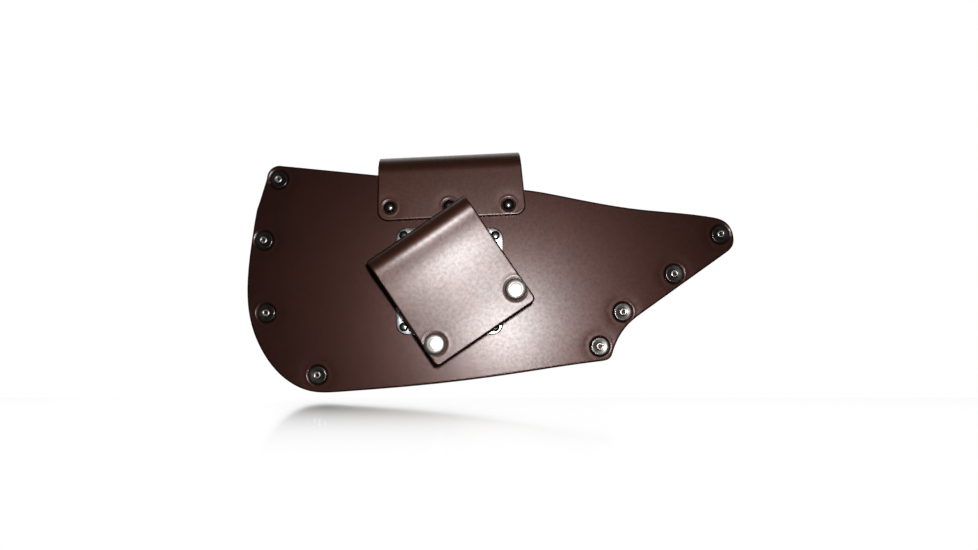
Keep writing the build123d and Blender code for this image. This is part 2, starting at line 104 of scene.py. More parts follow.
def outline_of(node):
    """Outer edge of a flat CAD node's face on the wearer's side, as an array of (x, z)."""
    mesh = bmesh.new()
    mesh.from_mesh(frame["nodes"][node].data)
    bmesh.ops.remove_doubles(mesh, verts=mesh.verts, dist=1e-6)
    front = min(vertex.co.y for vertex in mesh.verts)
    faces = {f for f in mesh.faces if all(v.co.y < front + 1e-5 for v in f.verts)}
    rim = [e for e in mesh.edges if sum(f in faces for f in e.link_faces) == 1]
    follow = {}
    for edge in rim:
        for vertex in edge.verts:
            follow.setdefault(vertex, []).append(edge.other_vert(vertex))
    loops, seen = [], set()
    for start in follow:
        loop, vertex = [], start
        while vertex is not None and vertex not in seen:
            seen.add(vertex)
            loop.append((vertex.co.x, vertex.co.z))
            vertex = next((v for v in follow[vertex] if v not in seen), None)
        loops.append(loop)
    mesh.free()
    loop = np.array(max(loops, key=len))
    area = np.sum(loop[:, 0] * np.roll(loop[:, 1], -1) - loop[:, 1] * np.roll(loop[:, 0], -1))
    return loop if area > 0 else loop[::-1]


back_low, back_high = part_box("back_panel")
front_low, front_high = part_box("front_panel")
flap_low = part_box("flap_fixed_leg")[0]
plate_low, plate_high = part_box("swivel_base_plate")
joints = {joint["name"]: joint for joint in frame["joints"]}
loop_axis = joints["loop_opening"]["axis"]
loop_tilt = atan2(-loop_axis[2], -loop_axis[0])
flap_axis = joints["flap_opening"]["axis"]
flap_tilt = atan2(flap_axis[2], flap_axis[0])


# ---------------------------------------------------------------- settings
class SheathLeather(bpy.types.PropertyGroup):
    """Leather of the pouch, the flap and the loop."""

    thickness: bpy.props.FloatProperty(
        name="Thickness", description="Thickness of every leather piece", default=back_high.y - back_low.y,
        unit="LENGTH",
    )
    edge_radius: bpy.props.FloatProperty(
        name="Edge Radius", description="Rounding of the burnished edges", default=0.9 * MM, unit="LENGTH"
    )
    mesh_pitch: bpy.props.FloatProperty(
        name="Mesh Pitch", description="Spacing of the points in the leather", default=2.4 * MM, unit="LENGTH"
    )
    colour: bpy.props.FloatVectorProperty(
        name="Colour", description="Chestnut brown of the grain side", default=(0.010, 0.0050, 0.0034),
        size=3, subtype="COLOR", min=0, max=1,
    )
    dark: bpy.props.FloatVectorProperty(
        name="Dark Colour", description="Darker clouds in the dye", default=(0.0048, 0.0028, 0.0022),
        size=3, subtype="COLOR", min=0, max=1,
    )
    strap: bpy.props.FloatVectorProperty(
        name="Strap Colour", description="Redder brown of the flap and the loop",
        default=(0.040, 0.0145, 0.0075),
        size=3, subtype="COLOR", min=0, max=1,
    )
    strap_dark: bpy.props.FloatVectorProperty(
        name="Dark Strap Colour", description="Darker clouds in its dye", default=(0.026, 0.0100, 0.0060),
        size=3, subtype="COLOR", min=0, max=1,
    )
    edge: bpy.props.FloatVectorProperty(
        name="Edge Colour", description="Dyed and burnished edge", default=(0.0045, 0.0035, 0.003),
        size=3, subtype="COLOR", min=0, max=1,
    )
    flesh: bpy.props.FloatVectorProperty(
        name="Flesh Colour", description="Rough inner side", default=(0.060, 0.030, 0.018),
        size=3, subtype="COLOR", min=0, max=1,
    )


class SheathPouch(bpy.types.PropertyGroup):
    """Shape of the two panels."""

    bulge_centre: bpy.props.FloatProperty(
        name="Bulge Centre", description="Where the outer panel stands out most", default=5 * MM,
        unit="LENGTH",
    )
    blade_reach: bpy.props.FloatProperty(
        name="Blade Reach", description="Half length of the bulge towards the blade", default=91 * MM,
        unit="LENGTH",
    )
    pick_reach: bpy.props.FloatProperty(
        name="Pick Reach", description="Half length of the bulge towards the pick, at the swivel's height",
        default=120.2 * MM, unit="LENGTH",
    )
    pick_slope: bpy.props.FloatProperty(
        name="Pick Slope", description="How much further the bulge reaches per height", default=0.7
    )
    dimple: bpy.props.FloatProperty(
        name="Dimple", description="How deep the washers are pressed in", default=0.75 * MM, unit="LENGTH"
    )


class SheathFlap(bpy.types.PropertyGroup):
    """Keeper flap."""

    shift: bpy.props.FloatProperty(
        name="Shift", description="How far its middle stands off the swivel's axis", default=3.9 * MM,
        unit="LENGTH",
    )
    low_half: bpy.props.FloatProperty(
        name="Low Half Width", description="Half width at the riveted edge", default=52.8 * MM, unit="LENGTH"
    )
    crest_half: bpy.props.FloatProperty(
        name="Crest Half Width", description="Half width over the mouth", default=49.8 * MM, unit="LENGTH"
    )
    low_edge: bpy.props.FloatProperty(
        name="Low Edge", description="Height of the riveted edge", default=44.5 * MM, unit="LENGTH"
    )
    free_edge: bpy.props.FloatProperty(
        name="Free Edge", description="Height of the snapped edge", default=40 * MM, unit="LENGTH"
    )
    shoulder: bpy.props.FloatProperty(
        name="Shoulder", description="Where the flap bends over the mouth", default=78.5 * MM, unit="LENGTH"
    )
    bend: bpy.props.FloatProperty(
        name="Bend", description="Radius of its rear bend", default=11 * MM, unit="LENGTH"
    )
    gap: bpy.props.FloatProperty(
        name="Gap", description="Room for the snaps under the free part", default=3.2 * MM, unit="LENGTH"
    )


class SheathLoop(bpy.types.PropertyGroup):
    """Belt loop."""

    shift: bpy.props.FloatProperty(
        name="Shift", description="How far its middle stands off the swivel's axis", default=0.2 * MM,
        unit="LENGTH",
    )
    fold_half: bpy.props.FloatProperty(
        name="Fold Half Width", description="Half width at the fold", default=40.6 * MM, unit="LENGTH"
    )
    end_half: bpy.props.FloatProperty(
        name="End Half Width", description="Half width at the snaps", default=41.6 * MM, unit="LENGTH"
    )
    end: bpy.props.FloatProperty(
        name="Cut End", description="Cut ends below the swivel", default=46.2 * MM, unit="LENGTH"
    )
    top: bpy.props.FloatProperty(
        name="Top", description="Top of the fold above the swivel", default=41.6 * MM, unit="LENGTH"
    )
    bend: bpy.props.FloatProperty(
        name="Bend", description="Tight bend at the back leg", default=5.9 * MM, unit="LENGTH"
    )
    depth: bpy.props.FloatProperty(
        name="Depth", description="Outside depth of the fold", default=15.8 * MM, unit="LENGTH"
    )
    snap_gap: bpy.props.FloatProperty(
        name="Snap Gap", description="Room between the legs at the snaps", default=3.6 * MM, unit="LENGTH"
    )


class SheathMetal(bpy.types.PropertyGroup):
    """Finishes of the fittings."""

    dark: bpy.props.FloatVectorProperty(
        name="Antique", description="Antique nickel of washers and caps", default=(0.15, 0.145, 0.135),
        size=3, subtype="COLOR", min=0, max=1,
    )
    bright: bpy.props.FloatVectorProperty(
        name="Nickel", description="Bright nickel of the snaps", default=(0.86, 0.83, 0.77),
        size=3, subtype="COLOR", min=0, max=1,
    )
    zinc: bpy.props.FloatVectorProperty(
        name="Zinc", description="Zinc plate of the turntable", default=(0.62, 0.62, 0.62),
        size=3, subtype="COLOR", min=0, max=1,
    )
    tarnish: bpy.props.FloatVectorProperty(
        name="Tarnish", description="Darkening in the low places", default=(0.05, 0.042, 0.034),
        size=3, subtype="COLOR", min=0, max=1,
    )


class SheathStage(bpy.types.PropertyGroup):
    """Camera, floor and lights."""

    distance: bpy.props.FloatProperty(
        name="Camera Distance", description="From the pouch to the camera", default=0.6, unit="LENGTH"
    )
    view_width: bpy.props.FloatProperty(
        name="View Width", description="Width seen at the pouch", default=0.6944, unit="LENGTH"
    )
    aim_x: bpy.props.FloatProperty(
        name="Aim Across", description="Middle of the view", default=28 * MM, unit="LENGTH"
    )
    aim_z: bpy.props.FloatProperty(
        name="Aim Up", description="Middle of the view", default=4.5 * MM, unit="LENGTH"
    )
    eye_x: bpy.props.FloatProperty(
        name="Eye Across", description="Where the camera stands", default=19.5 * MM, unit="LENGTH"
    )
    eye_z: bpy.props.FloatProperty(
        name="Eye Up", description="Where the camera stands", default=-75 * MM, unit="LENGTH"
    )
    floor_gap: bpy.props.FloatProperty(
        name="Floor Gap", description="Air between the pouch and the floor", default=4.5 * MM, unit="LENGTH"
    )
    key_power: bpy.props.FloatProperty(name="Key", description="Power of the key light, watts", default=2.05)
    rear_power: bpy.props.FloatProperty(
        name="Rear", description="Power of the rear light, watts", default=6.0
    )
    room: bpy.props.FloatProperty(name="Room", description="Brightness of the room in front", default=0.022)


# ---------------------------------------------------------------- flat patterns
def resampled(loop, step):
    """Closed outline with evenly spaced points."""
    closed = np.vstack([loop, loop[:1]])
    along = np.concatenate([[0], np.cumsum(np.linalg.norm(np.diff(closed, axis=0), axis=1))])
    places = np.linspace(0, along[-1], max(int(along[-1] / step), 8), endpoint=False)
    return np.column_stack([np.interp(places, along, closed[:, axis]) for axis in (0, 1)])


def rounded(corners, radii):
    """Closed outline through corners given anticlockwise, each rounded to its radius."""
    points, count = [], len(corners)
    for i, (corner, radius) in enumerate(zip(corners, radii)):
        here = np.array(corner)
        before = np.array(corners[i - 1]) - here
        after = np.array(corners[(i + 1) % count]) - here
        before, after = before / np.linalg.norm(before), after / np.linalg.norm(after)
        half = np.arccos(np.clip(before @ after, -1, 1)) / 2
        if radius <= 0 or half > 0.49 * pi:
            points.append(here)
            continue
        middle = (before + after) / np.linalg.norm(before + after)
        centre = here + middle * radius / sin(half)
        first = here + before * radius / np.tan(half) - centre
        turn = pi - 2 * half
        for k in range(9):
            angle = turn * k / 8
            points.append(centre + first @ np.array([[cos(angle), sin(angle)], [-sin(angle), cos(angle)]]))
    return np.array(points)


def edge_distance(points, outline):
    """Distance of each point from a closed outline."""
    start, way = outline, np.roll(outline, -1, axis=0) - outline
    nearest = np.full(len(points), np.inf)
    for a, w in zip(start, way):
        t = np.clip(((points - a) @ w) / (w @ w), 0, 1)
        nearest = np.minimum(nearest, np.linalg.norm(points - a - t[:, None] * w, axis=1))
    return nearest


def inside(points, outline):
    """Which points lie inside a closed outline."""
    x, y = points[:, 0], points[:, 1]
    result = np.zeros(len(points), bool)
    for (x1, y1), (x2, y2) in zip(outline, np.roll(outline, -1, axis=0)):
        if y1 != y2:
            crosses = (y1 > y) != (y2 > y)
            result ^= crosses & (x < (x2 - x1) * (y - y1) / (y2 - y1) + x1)
    return result


def inset(outline, distance):
    """Outline moved inwards."""
    way = np.roll(outline, -1, axis=0) - np.roll(outline, 1, axis=0)
    way /= np.linalg.norm(way, axis=1)[:, None]
    return outline + distance * np.column_stack([-way[:, 1], way[:, 0]])


EDGE_ROWS = (0.12, 0.3, 0.55, 0.95, 1.6, 2.6)
RIVET_ROWS = (3.2, 4.6, 5.6, 6.2, 6.6, 7.0, 7.5, 8.2, 9.2)


def pattern_of(outline, pitch, rivets=(), rivet_scale=1.0):
    """Points, triangles and edge distances of a cut leather piece. Its first points are its outline."""
    outline = resampled(outline, 0.5 * pitch)
    rows = [outline] + [inset(outline, row * MM) for row in EDGE_ROWS]
    low, high = outline.min(0), outline.max(0)
    across, up = np.arange(low[0], high[0], pitch), np.arange(low[1], high[1], pitch * sqrt(3) / 2)
    grid = np.array([(x + (j % 2) * pitch / 2, y) for j, y in enumerate(up) for x in across])
    grid = grid[inside(grid, outline)]
    grid = grid[edge_distance(grid, outline) > EDGE_ROWS[-1] * MM + 0.5 * pitch]
    for rivet in rivets:
        ring = RIVET_ROWS[-1] * MM * rivet_scale + 0.5 * pitch
        grid = grid[np.linalg.norm(grid - np.array(rivet), axis=1) > ring]
        angles = np.arange(36) * 2 * pi / 36
        turn = np.column_stack([np.cos(angles), np.sin(angles)])
        for radius in RIVET_ROWS:
            circle = np.array(rivet) + radius * MM * rivet_scale * turn
            rows.append(circle[edge_distance(circle, outline) > (EDGE_ROWS[-1] + 0.3) * MM])
    points = np.vstack(rows + [grid])
    flat = [Vector(point) for point in points]
    found = delaunay_2d_cdt(flat, [], [list(range(len(outline)))], 1, 1e-9)
    points = np.array([tuple(p) for p in found[0]])
    return len(outline), points, [tuple(f) for f in found[2]], edge_distance(points, outline)


def leather_piece(name, pattern, thickness, edge_radius, lay, press=None, layers=1):
    """Solid leather from a pattern.

    lay(u, v, h) places pattern points at height h over mid thickness, grain side positive, and
    press(u, v) gives how far the grain side and the flesh side are pressed in.
    """
    rim, points, faces, depth = pattern
    near = np.clip(edge_radius - depth, 0, edge_radius)
    roll = edge_radius - np.sqrt(np.maximum(edge_radius**2 - near**2, 0))
    pressed = press(points) if press else (0 * roll, 0 * roll)
    grain_height = thickness / 2 - roll - pressed[0]
    flesh_height = -thickness / 2 + roll + pressed[1]
    wall_rows = 6 if layers > 1 else 3
    round_swell, layer_swell, seam = 0.10 * MM, 0.16 * MM, 0.12 * MM
    outward = -(inset(points[:rim], 1.0) - points[:rim])
    walls = []
    for row in range(1, wall_rows):
        share = row / wall_rows
        height = grain_height[:rim] * (1 - share) + flesh_height[:rim] * share
        swell = round_swell * sin(pi * share)
        if layers > 1:
            swell = layer_swell * abs(sin(2 * pi * share)) - seam * (abs(share - 0.5) < 0.01)
        walls.append((points[:rim] + outward * swell, height))
    flat = np.vstack([points, points] + [wall[0] for wall in walls])
    height = np.concatenate([grain_height, flesh_height] + [wall[1] for wall in walls])
    places = lay(flat[:, 0], flat[:, 1], height)
    count = len(points)
    polygons = list(faces) + [tuple(i + count for i in reversed(face)) for face in faces]
    levels = [np.arange(rim)] + [2 * count + k * rim + np.arange(rim) for k in range(len(walls))]
    levels.append(count + np.arange(rim))
    for upper, lower in zip(levels, levels[1:]):
        for i in range(rim):
            j = (i + 1) % rim
            polygons.append((int(upper[i]), int(lower[i]), int(lower[j]), int(upper[j])))
    mesh = bpy.data.meshes.new(name)
    mesh.from_pydata([tuple(p) for p in places], [], polygons)
    mesh.update()
    edge_share = np.clip(1.25 - depth / (1.3 * MM), 0, 1)
    worn = np.concatenate([edge_share, edge_share, np.ones(len(flat) - 2 * count)])
    rough = np.concatenate([np.zeros(count), np.ones(count), np.zeros(len(flat) - 2 * count)])
    for title, values in (("burnish", worn), ("flesh", rough)):
        mesh.attributes.new(title, "FLOAT", "POINT").data.foreach_set("value", values.astype(np.float32))
    cloth = np.column_stack([flat[:, 0], flat[:, 1], height]).astype(np.float32)
    mesh.attributes.new("pattern", "FLOAT_VECTOR", "POINT").data.foreach_set("vector", cloth.ravel())
    mesh.shade_smooth()
    piece = bpy.data.objects.new(name, mesh)
    bpy.context.scene.collection.objects.link(piece)
    face_up(piece)
    return piece


def face_up(piece):
    """Turns a closed mesh's faces outwards."""
    mesh = bmesh.new()
    mesh.from_mesh(piece.data)
    bmesh.ops.recalc_face_normals(mesh, faces=mesh.faces)
    mesh.to_mesh(piece.data)
    mesh.free()


def pressed_by(points, rivets, radius, depth, rim=0.12 * MM):
    """How far round fittings press the leather in: a seat, a soft wall and a slight raised rim."""
    total = np.zeros(len(points))
    for rivet in rivets:
        far = np.linalg.norm(points - np.array(rivet), axis=1)
        wall = np.clip((far - radius) / (0.9 * MM), 0, 1)
        seat = depth * (1 - wall * wall * (3 - 2 * wall))
        lift = rim * np.exp(-(((far - radius - 1.5 * MM) / (0.8 * MM)) ** 2))
        sag = 0.35 * depth * np.exp(-(((far - radius) / (4.5 * MM)) ** 2)) * (far > radius)
        total += seat - lift + sag * wall
    return total


def turned_into(across, up, tilt):
    """Row x and z of pattern points given across and up a tilted strap."""
    return across * cos(tilt) - up * sin(tilt), across * sin(tilt) + up * cos(tilt)


# ---------------------------------------------------------------- turned fittings
def turned_group(name, profile, seats, segments=64):
    """One mesh of lathe-turned fittings: profile is (radius, height) in mm, one copy at each seat."""
    verts, polygons = [], []
    for seat in seats:
        rings = []
        for radius, height in profile:
            if radius < 1e-6:
                rings.append([len(verts)])
                verts.append(seat @ Vector((0, 0, height * MM)))
                continue
            rings.append(list(range(len(verts), len(verts) + segments)))
            for k in range(segments):
                angle = 2 * pi * k / segments
                verts.append(seat @ Vector((cos(angle) * radius * MM, sin(angle) * radius * MM, height * MM)))
        pairs = list(zip(rings, rings[1:]))
        if len(rings[0]) > 1:
            pairs.append((rings[-1], rings[0]))
        for lower, upper in pairs:
            for k in range(segments):
                j = (k + 1) % segments
                near = [lower[k % len(lower)], lower[j % len(lower)]]
                far = [upper[j % len(upper)], upper[k % len(upper)]]
                polygons.append(tuple(dict.fromkeys(near + far)))
    mesh = bpy.data.meshes.new(name)
    mesh.from_pydata(verts, [], polygons)
    mesh.update()
    piece = bpy.data.objects.new(name, mesh)
    bpy.context.scene.collection.objects.link(piece)
    face_up(piece)
    mesh.shade_smooth()
    mesh.set_sharp_from_angle(angle=radians(50))
    return piece


def arc(centre, radius, start, end, steps=6):
    """Points of a round stretch of a profile, angles in degrees."""
    angles = [radians(start + (end - start) * k / steps) for k in range(steps + 1)]
    return [(centre[0] + radius * cos(a), centre[1] + radius * sin(a)) for a in angles]


def seats_facing_belt(centres, level):
    """Seats of fittings whose axis points at the wearer, on the plane at y = level."""
    turn = Matrix.Rotation(radians(90), 4, "X")
    return [Matrix.Translation((c.x, level, c.z)) @ turn for c in centres]


def finish_piece(piece, material, body, slot, *nodes):
    """Gives a piece its material and its body, and hides the CAD nodes that it stands for."""
    piece.data.materials.clear()
    piece.data.materials.append(material)
    if body:
        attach(piece, body)
    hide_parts(*nodes)


# ---------------------------------------------------------------- materials
def spread(tree):
    """Sets out a tree's nodes in the columns that their order gives."""
    plain = [node for node in tree.nodes if node.type != "FRAME"]
    for i, node in enumerate(plain):
        node.location = (260 * (i // 4) - 1800, 420 - 240 * (i % 4))


def leather_material(name, colour, dark, edge, flesh, gloss=0.27, clouds=9.0, wax=1.45):
    """Waxed chestnut leather: cloudy dye, fine grain, burnished edges and a rough flesh side."""
    material = bpy.data.materials.new(name)
    material.use_nodes = True
    tree = material.node_tree
    nodes, links = tree.nodes, tree.links
    nodes.clear()

    dye = nodes.new("NodeFrame")
    dye.label = "Cloudy dye"
    grain = nodes.new("NodeFrame")
    grain.label = "Grain and pores"
    wear = nodes.new("NodeFrame")
    wear.label = "Edges and flesh side"
    finish = nodes.new("NodeFrame")
    finish.label = "Waxed finish"

    place = nodes.new("ShaderNodeAttribute")
    place.label = "Place on the cut leather"
    place.attribute_name = "pattern"
    place.parent = dye

    cloud = nodes.new("ShaderNodeTexNoise")
    cloud.label = "Soft clouds of dye"
    cloud.inputs["Scale"].default_value = clouds
    cloud.inputs["Detail"].default_value = 4
    cloud.inputs["Roughness"].default_value = 0.55
    cloud.inputs["Distortion"].default_value = 0.4
    cloud.parent = dye

    mottle = nodes.new("ShaderNodeTexNoise")
    mottle.label = "Fine mottling"
    mottle.inputs["Scale"].default_value = 160
    mottle.inputs["Detail"].default_value = 5
    mottle.inputs["Roughness"].default_value = 0.62
    mottle.parent = dye

    mottle_share = nodes.new("ShaderNodeMapRange")
    mottle_share.label = "How much the mottling shows"
    mottle_share.inputs["From Min"].default_value = 0.3
    mottle_share.inputs["From Max"].default_value = 0.7
    mottle_share.inputs["To Min"].default_value = -0.12
    mottle_share.inputs["To Max"].default_value = 0.12
    mottle_share.parent = dye

    dye_sum = nodes.new("ShaderNodeMath")
    dye_sum.label = "Clouds with mottling"
    dye_sum.operation = "ADD"
    dye_sum.parent = dye

    dye_range = nodes.new("ShaderNodeMapRange")
    dye_range.label = "Contrast of the dye"
    dye_range.inputs["From Min"].default_value = 0.32
    dye_range.inputs["From Max"].default_value = 0.70
    dye_range.parent = dye

    dye_mix = nodes.new("ShaderNodeMix")
    dye_mix.label = "Dark to chestnut"
    dye_mix.data_type = "RGBA"
    dye_mix.inputs["A"].default_value = (*dark, 1)
    dye_mix.inputs["B"].default_value = (*colour, 1)
    dye_mix.parent = dye

    burnish = nodes.new("ShaderNodeAttribute")
    burnish.label = "Nearness to the cut edge"
    burnish.attribute_name = "burnish"
    burnish.parent = wear

    edge_break = nodes.new("ShaderNodeTexNoise")
    edge_break.label = "Uneven edge dye"
    edge_break.inputs["Scale"].default_value = 420
    edge_break.inputs["Detail"].default_value = 3
    edge_break.parent = wear

    edge_shift = nodes.new("ShaderNodeMath")
    edge_shift.label = "Wander of the dye line"
    edge_shift.operation = "MULTIPLY_ADD"
    edge_shift.inputs[1].default_value = 0.5
    edge_shift.inputs[2].default_value = -0.25
    edge_shift.parent = wear

    edge_sum = nodes.new("ShaderNodeMath")
    edge_sum.label = "Edge with wander"
    edge_sum.operation = "ADD"
    edge_sum.parent = wear

    edge_share = nodes.new("ShaderNodeMapRange")
    edge_share.label = "Dyed edge"
    edge_share.interpolation_type = "SMOOTHSTEP"
    edge_share.inputs["From Min"].default_value = 0.35
    edge_share.inputs["From Max"].default_value = 0.85
    edge_share.parent = wear

    edge_mix = nodes.new("ShaderNodeMix")
    edge_mix.label = "Grain side with dyed edge"
    edge_mix.data_type = "RGBA"
    edge_mix.inputs["B"].default_value = (*edge, 1)
    edge_mix.parent = wear

    flesh_side = nodes.new("ShaderNodeAttribute")
    flesh_side.label = "Flesh side"
    flesh_side.attribute_name = "flesh"
    flesh_side.parent = wear

    nap = nodes.new("ShaderNodeTexNoise")
    nap.label = "Nap of the flesh side"
    nap.inputs["Scale"].default_value = 900
    nap.inputs["Detail"].default_value = 6
    nap.inputs["Roughness"].default_value = 0.7
    nap.parent = wear

    nap_colour = nodes.new("ShaderNodeMix")
    nap_colour.label = "Flesh colour"
    nap_colour.data_type = "RGBA"
    nap_colour.inputs["A"].default_value = (flesh[0] * 0.5, flesh[1] * 0.5, flesh[2] * 0.5, 1)
    nap_colour.inputs["B"].default_value = (*flesh, 1)
    nap_colour.parent = wear

    side_mix = nodes.new("ShaderNodeMix")
    side_mix.label = "Grain or flesh"
    side_mix.data_type = "RGBA"
    side_mix.parent = wear

    cells = nodes.new("ShaderNodeTexVoronoi")
    cells.label = "Grain cells"
    cells.feature = "DISTANCE_TO_EDGE"
    cells.inputs["Scale"].default_value = 1150
    cells.inputs["Randomness"].default_value = 1.0
    cells.parent = grain

    cell_warp = nodes.new("ShaderNodeTexNoise")
    cell_warp.label = "Bend of the grain"
    cell_warp.inputs["Scale"].default_value = 350
    cell_warp.inputs["Detail"].default_value = 3
    cell_warp.parent = grain

    cell_place = nodes.new("ShaderNodeMix")
    cell_place.label = "Bent place"
    cell_place.data_type = "VECTOR"
    cell_place.inputs["Factor"].default_value = 0.0015
    cell_place.parent = grain

    crease = nodes.new("ShaderNodeMapRange")
    crease.label = "Creases between cells"
    crease.inputs["From Min"].default_value = 0.0
    crease.inputs["From Max"].default_value = 0.16
    crease.parent = grain

    patches = nodes.new("ShaderNodeTexNoise")
    patches.label = "Where the grain is tight or smooth"
    patches.inputs["Scale"].default_value = 24
    patches.inputs["Detail"].default_value = 3
    patches.parent = grain

    patch_share = nodes.new("ShaderNodeMapRange")
    patch_share.label = "Grain strength"
    patch_share.inputs["From Min"].default_value = 0.35
    patch_share.inputs["From Max"].default_value = 0.7
    patch_share.inputs["To Min"].default_value = 0.15
    patch_share.inputs["To Max"].default_value = 0.6
    patch_share.parent = grain

    grain_bump = nodes.new("ShaderNodeBump")
    grain_bump.label = "Grain relief"
    grain_bump.inputs["Distance"].default_value = 0.000028
    grain_bump.parent = grain

    ripple = nodes.new("ShaderNodeTexNoise")
    ripple.label = "Uneven hide"
    ripple.inputs["Scale"].default_value = 55
    ripple.inputs["Detail"].default_value = 4
    ripple.inputs["Roughness"].default_value = 0.5
    ripple.parent = grain

    ripple_bump = nodes.new("ShaderNodeBump")
    ripple_bump.label = "Slow ripple of the hide"
    ripple_bump.inputs["Distance"].default_value = 0.00035
    ripple_bump.inputs["Strength"].default_value = 0.24
    ripple_bump.parent = grain

    nap_bump = nodes.new("ShaderNodeBump")
    nap_bump.label = "Nap relief"
    nap_bump.inputs["Distance"].default_value = 0.00025
    nap_bump.parent = wear

    scuff = nodes.new("ShaderNodeTexNoise")
    scuff.label = "Handling marks in the wax"
    scuff.inputs["Scale"].default_value = 38
    scuff.inputs["Detail"].default_value = 8
    scuff.inputs["Roughness"].default_value = 0.68
    scuff.inputs["Distortion"].default_value = 0.8
    scuff.parent = finish

    gloss_range = nodes.new("ShaderNodeMapRange")
    gloss_range.label = "Roughness of the waxed grain"
    gloss_range.inputs["From Min"].default_value = 0.3
    gloss_range.inputs["From Max"].default_value = 0.75
    gloss_range.inputs["To Min"].default_value = gloss + 0.13
    gloss_range.inputs["To Max"].default_value = gloss + 0.22
    gloss_range.parent = finish

    flesh_rough = nodes.new("ShaderNodeMix")
    flesh_rough.label = "Rough flesh side"
    flesh_rough.data_type = "FLOAT"
    flesh_rough.inputs["B"].default_value = 0.92
    flesh_rough.parent = finish

    shader = nodes.new("ShaderNodeBsdfPrincipled")
    shader.label = "Leather"
    shader.inputs["IOR"].default_value = 1.5
    shader.inputs["Specular IOR Level"].default_value = 0.40
    shader.inputs["Specular Tint"].default_value = (1.0, 0.22, 0.12, 1)
    shader.inputs["Coat Roughness"].default_value = gloss
    shader.inputs["Coat IOR"].default_value = wax
    shader.parent = finish

    coat = nodes.new("ShaderNodeMapRange")
    coat.label = "Wax only on the grain side"
    coat.inputs["To Min"].default_value = 1.0
    coat.inputs["To Max"].default_value = 0.0
    coat.parent = finish

    specks = nodes.new("ShaderNodeTexNoise")
    specks.label = "Specks in the wax"
    specks.inputs["Scale"].default_value = 430
    specks.inputs["Detail"].default_value = 4
    specks.inputs["Roughness"].default_value = 0.7
    specks.parent = finish

    wax_wear = nodes.new("ShaderNodeMapRange")
    wax_wear.label = "Wax rubbed thin in specks"
    wax_wear.inputs["From Min"].default_value = 0.34
    wax_wear.inputs["From Max"].default_value = 0.62
    wax_wear.inputs["To Min"].default_value = 0.68
    wax_wear.inputs["To Max"].default_value = 1.0
    wax_wear.parent = finish

    wax_share = nodes.new("ShaderNodeMath")
    wax_share.label = "Wax left on the grain"
    wax_share.operation = "MULTIPLY"
    wax_share.parent = finish

    output = nodes.new("ShaderNodeOutputMaterial")
    output.label = "Surface"

    links.new(place.outputs["Vector"], cloud.inputs["Vector"])
    links.new(place.outputs["Vector"], mottle.inputs["Vector"])
    links.new(mottle.outputs["Fac"], mottle_share.inputs["Value"])
    links.new(cloud.outputs["Fac"], dye_sum.inputs[0])
    links.new(mottle_share.outputs["Result"], dye_sum.inputs[1])
    links.new(dye_sum.outputs[0], dye_range.inputs["Value"])
    links.new(dye_range.outputs["Result"], dye_mix.inputs["Factor"])

    links.new(place.outputs["Vector"], edge_break.inputs["Vector"])
    links.new(edge_break.outputs["Fac"], edge_shift.inputs[0])
    links.new(burnish.outputs["Fac"], edge_sum.inputs[0])
    links.new(edge_shift.outputs[0], edge_sum.inputs[1])
    links.new(edge_sum.outputs[0], edge_share.inputs["Value"])
    links.new(edge_share.outputs["Result"], edge_mix.inputs["Factor"])
    links.new(dye_mix.outputs["Result"], edge_mix.inputs["A"])

    links.new(place.outputs["Vector"], nap.inputs["Vector"])
    links.new(nap.outputs["Fac"], nap_colour.inputs["Factor"])
    links.new(flesh_side.outputs["Fac"], side_mix.inputs["Factor"])
    links.new(edge_mix.outputs["Result"], side_mix.inputs["A"])
    links.new(nap_colour.outputs["Result"], side_mix.inputs["B"])
    links.new(side_mix.outputs["Result"], shader.inputs["Base Color"])

    links.new(place.outputs["Vector"], cell_warp.inputs["Vector"])
    links.new(place.outputs["Vector"], cell_place.inputs["A"])
    links.new(cell_warp.outputs["Color"], cell_place.inputs["B"])
    links.new(cell_place.outputs["Result"], cells.inputs["Vector"])
    links.new(cells.outputs["Distance"], crease.inputs["Value"])
    links.new(crease.outputs["Result"], grain_bump.inputs["Height"])
    links.new(place.outputs["Vector"], patches.inputs["Vector"])
    links.new(patches.outputs["Fac"], patch_share.inputs["Value"])
    links.new(patch_share.outputs["Result"], grain_bump.inputs["Strength"])
    links.new(place.outputs["Vector"], ripple.inputs["Vector"])
    links.new(ripple.outputs["Fac"], ripple_bump.inputs["Height"])
    links.new(ripple_bump.outputs["Normal"], grain_bump.inputs["Normal"])
    links.new(nap.outputs["Fac"], nap_bump.inputs["Height"])
    links.new(flesh_side.outputs["Fac"], nap_bump.inputs["Strength"])
    links.new(grain_bump.outputs["Normal"], nap_bump.inputs["Normal"])
    links.new(nap_bump.outputs["Normal"], shader.inputs["Normal"])

    links.new(place.outputs["Vector"], scuff.inputs["Vector"])
    links.new(scuff.outputs["Fac"], gloss_range.inputs["Value"])
    links.new(gloss_range.outputs["Result"], flesh_rough.inputs["A"])
    links.new(flesh_side.outputs["Fac"], flesh_rough.inputs["Factor"])
    links.new(flesh_rough.outputs["Result"], shader.inputs["Roughness"])
    links.new(flesh_side.outputs["Fac"], coat.inputs["Value"])
    links.new(coat.outputs["Result"], wax_share.inputs[0])
    links.new(place.outputs["Vector"], specks.inputs["Vector"])
    links.new(specks.outputs["Fac"], wax_wear.inputs["Value"])
    links.new(wax_wear.outputs["Result"], wax_share.inputs[1])
    links.new(wax_share.outputs[0], shader.inputs["Coat Weight"])
    links.new(shader.outputs["BSDF"], output.inputs["Surface"])
    spread(tree)
    return material


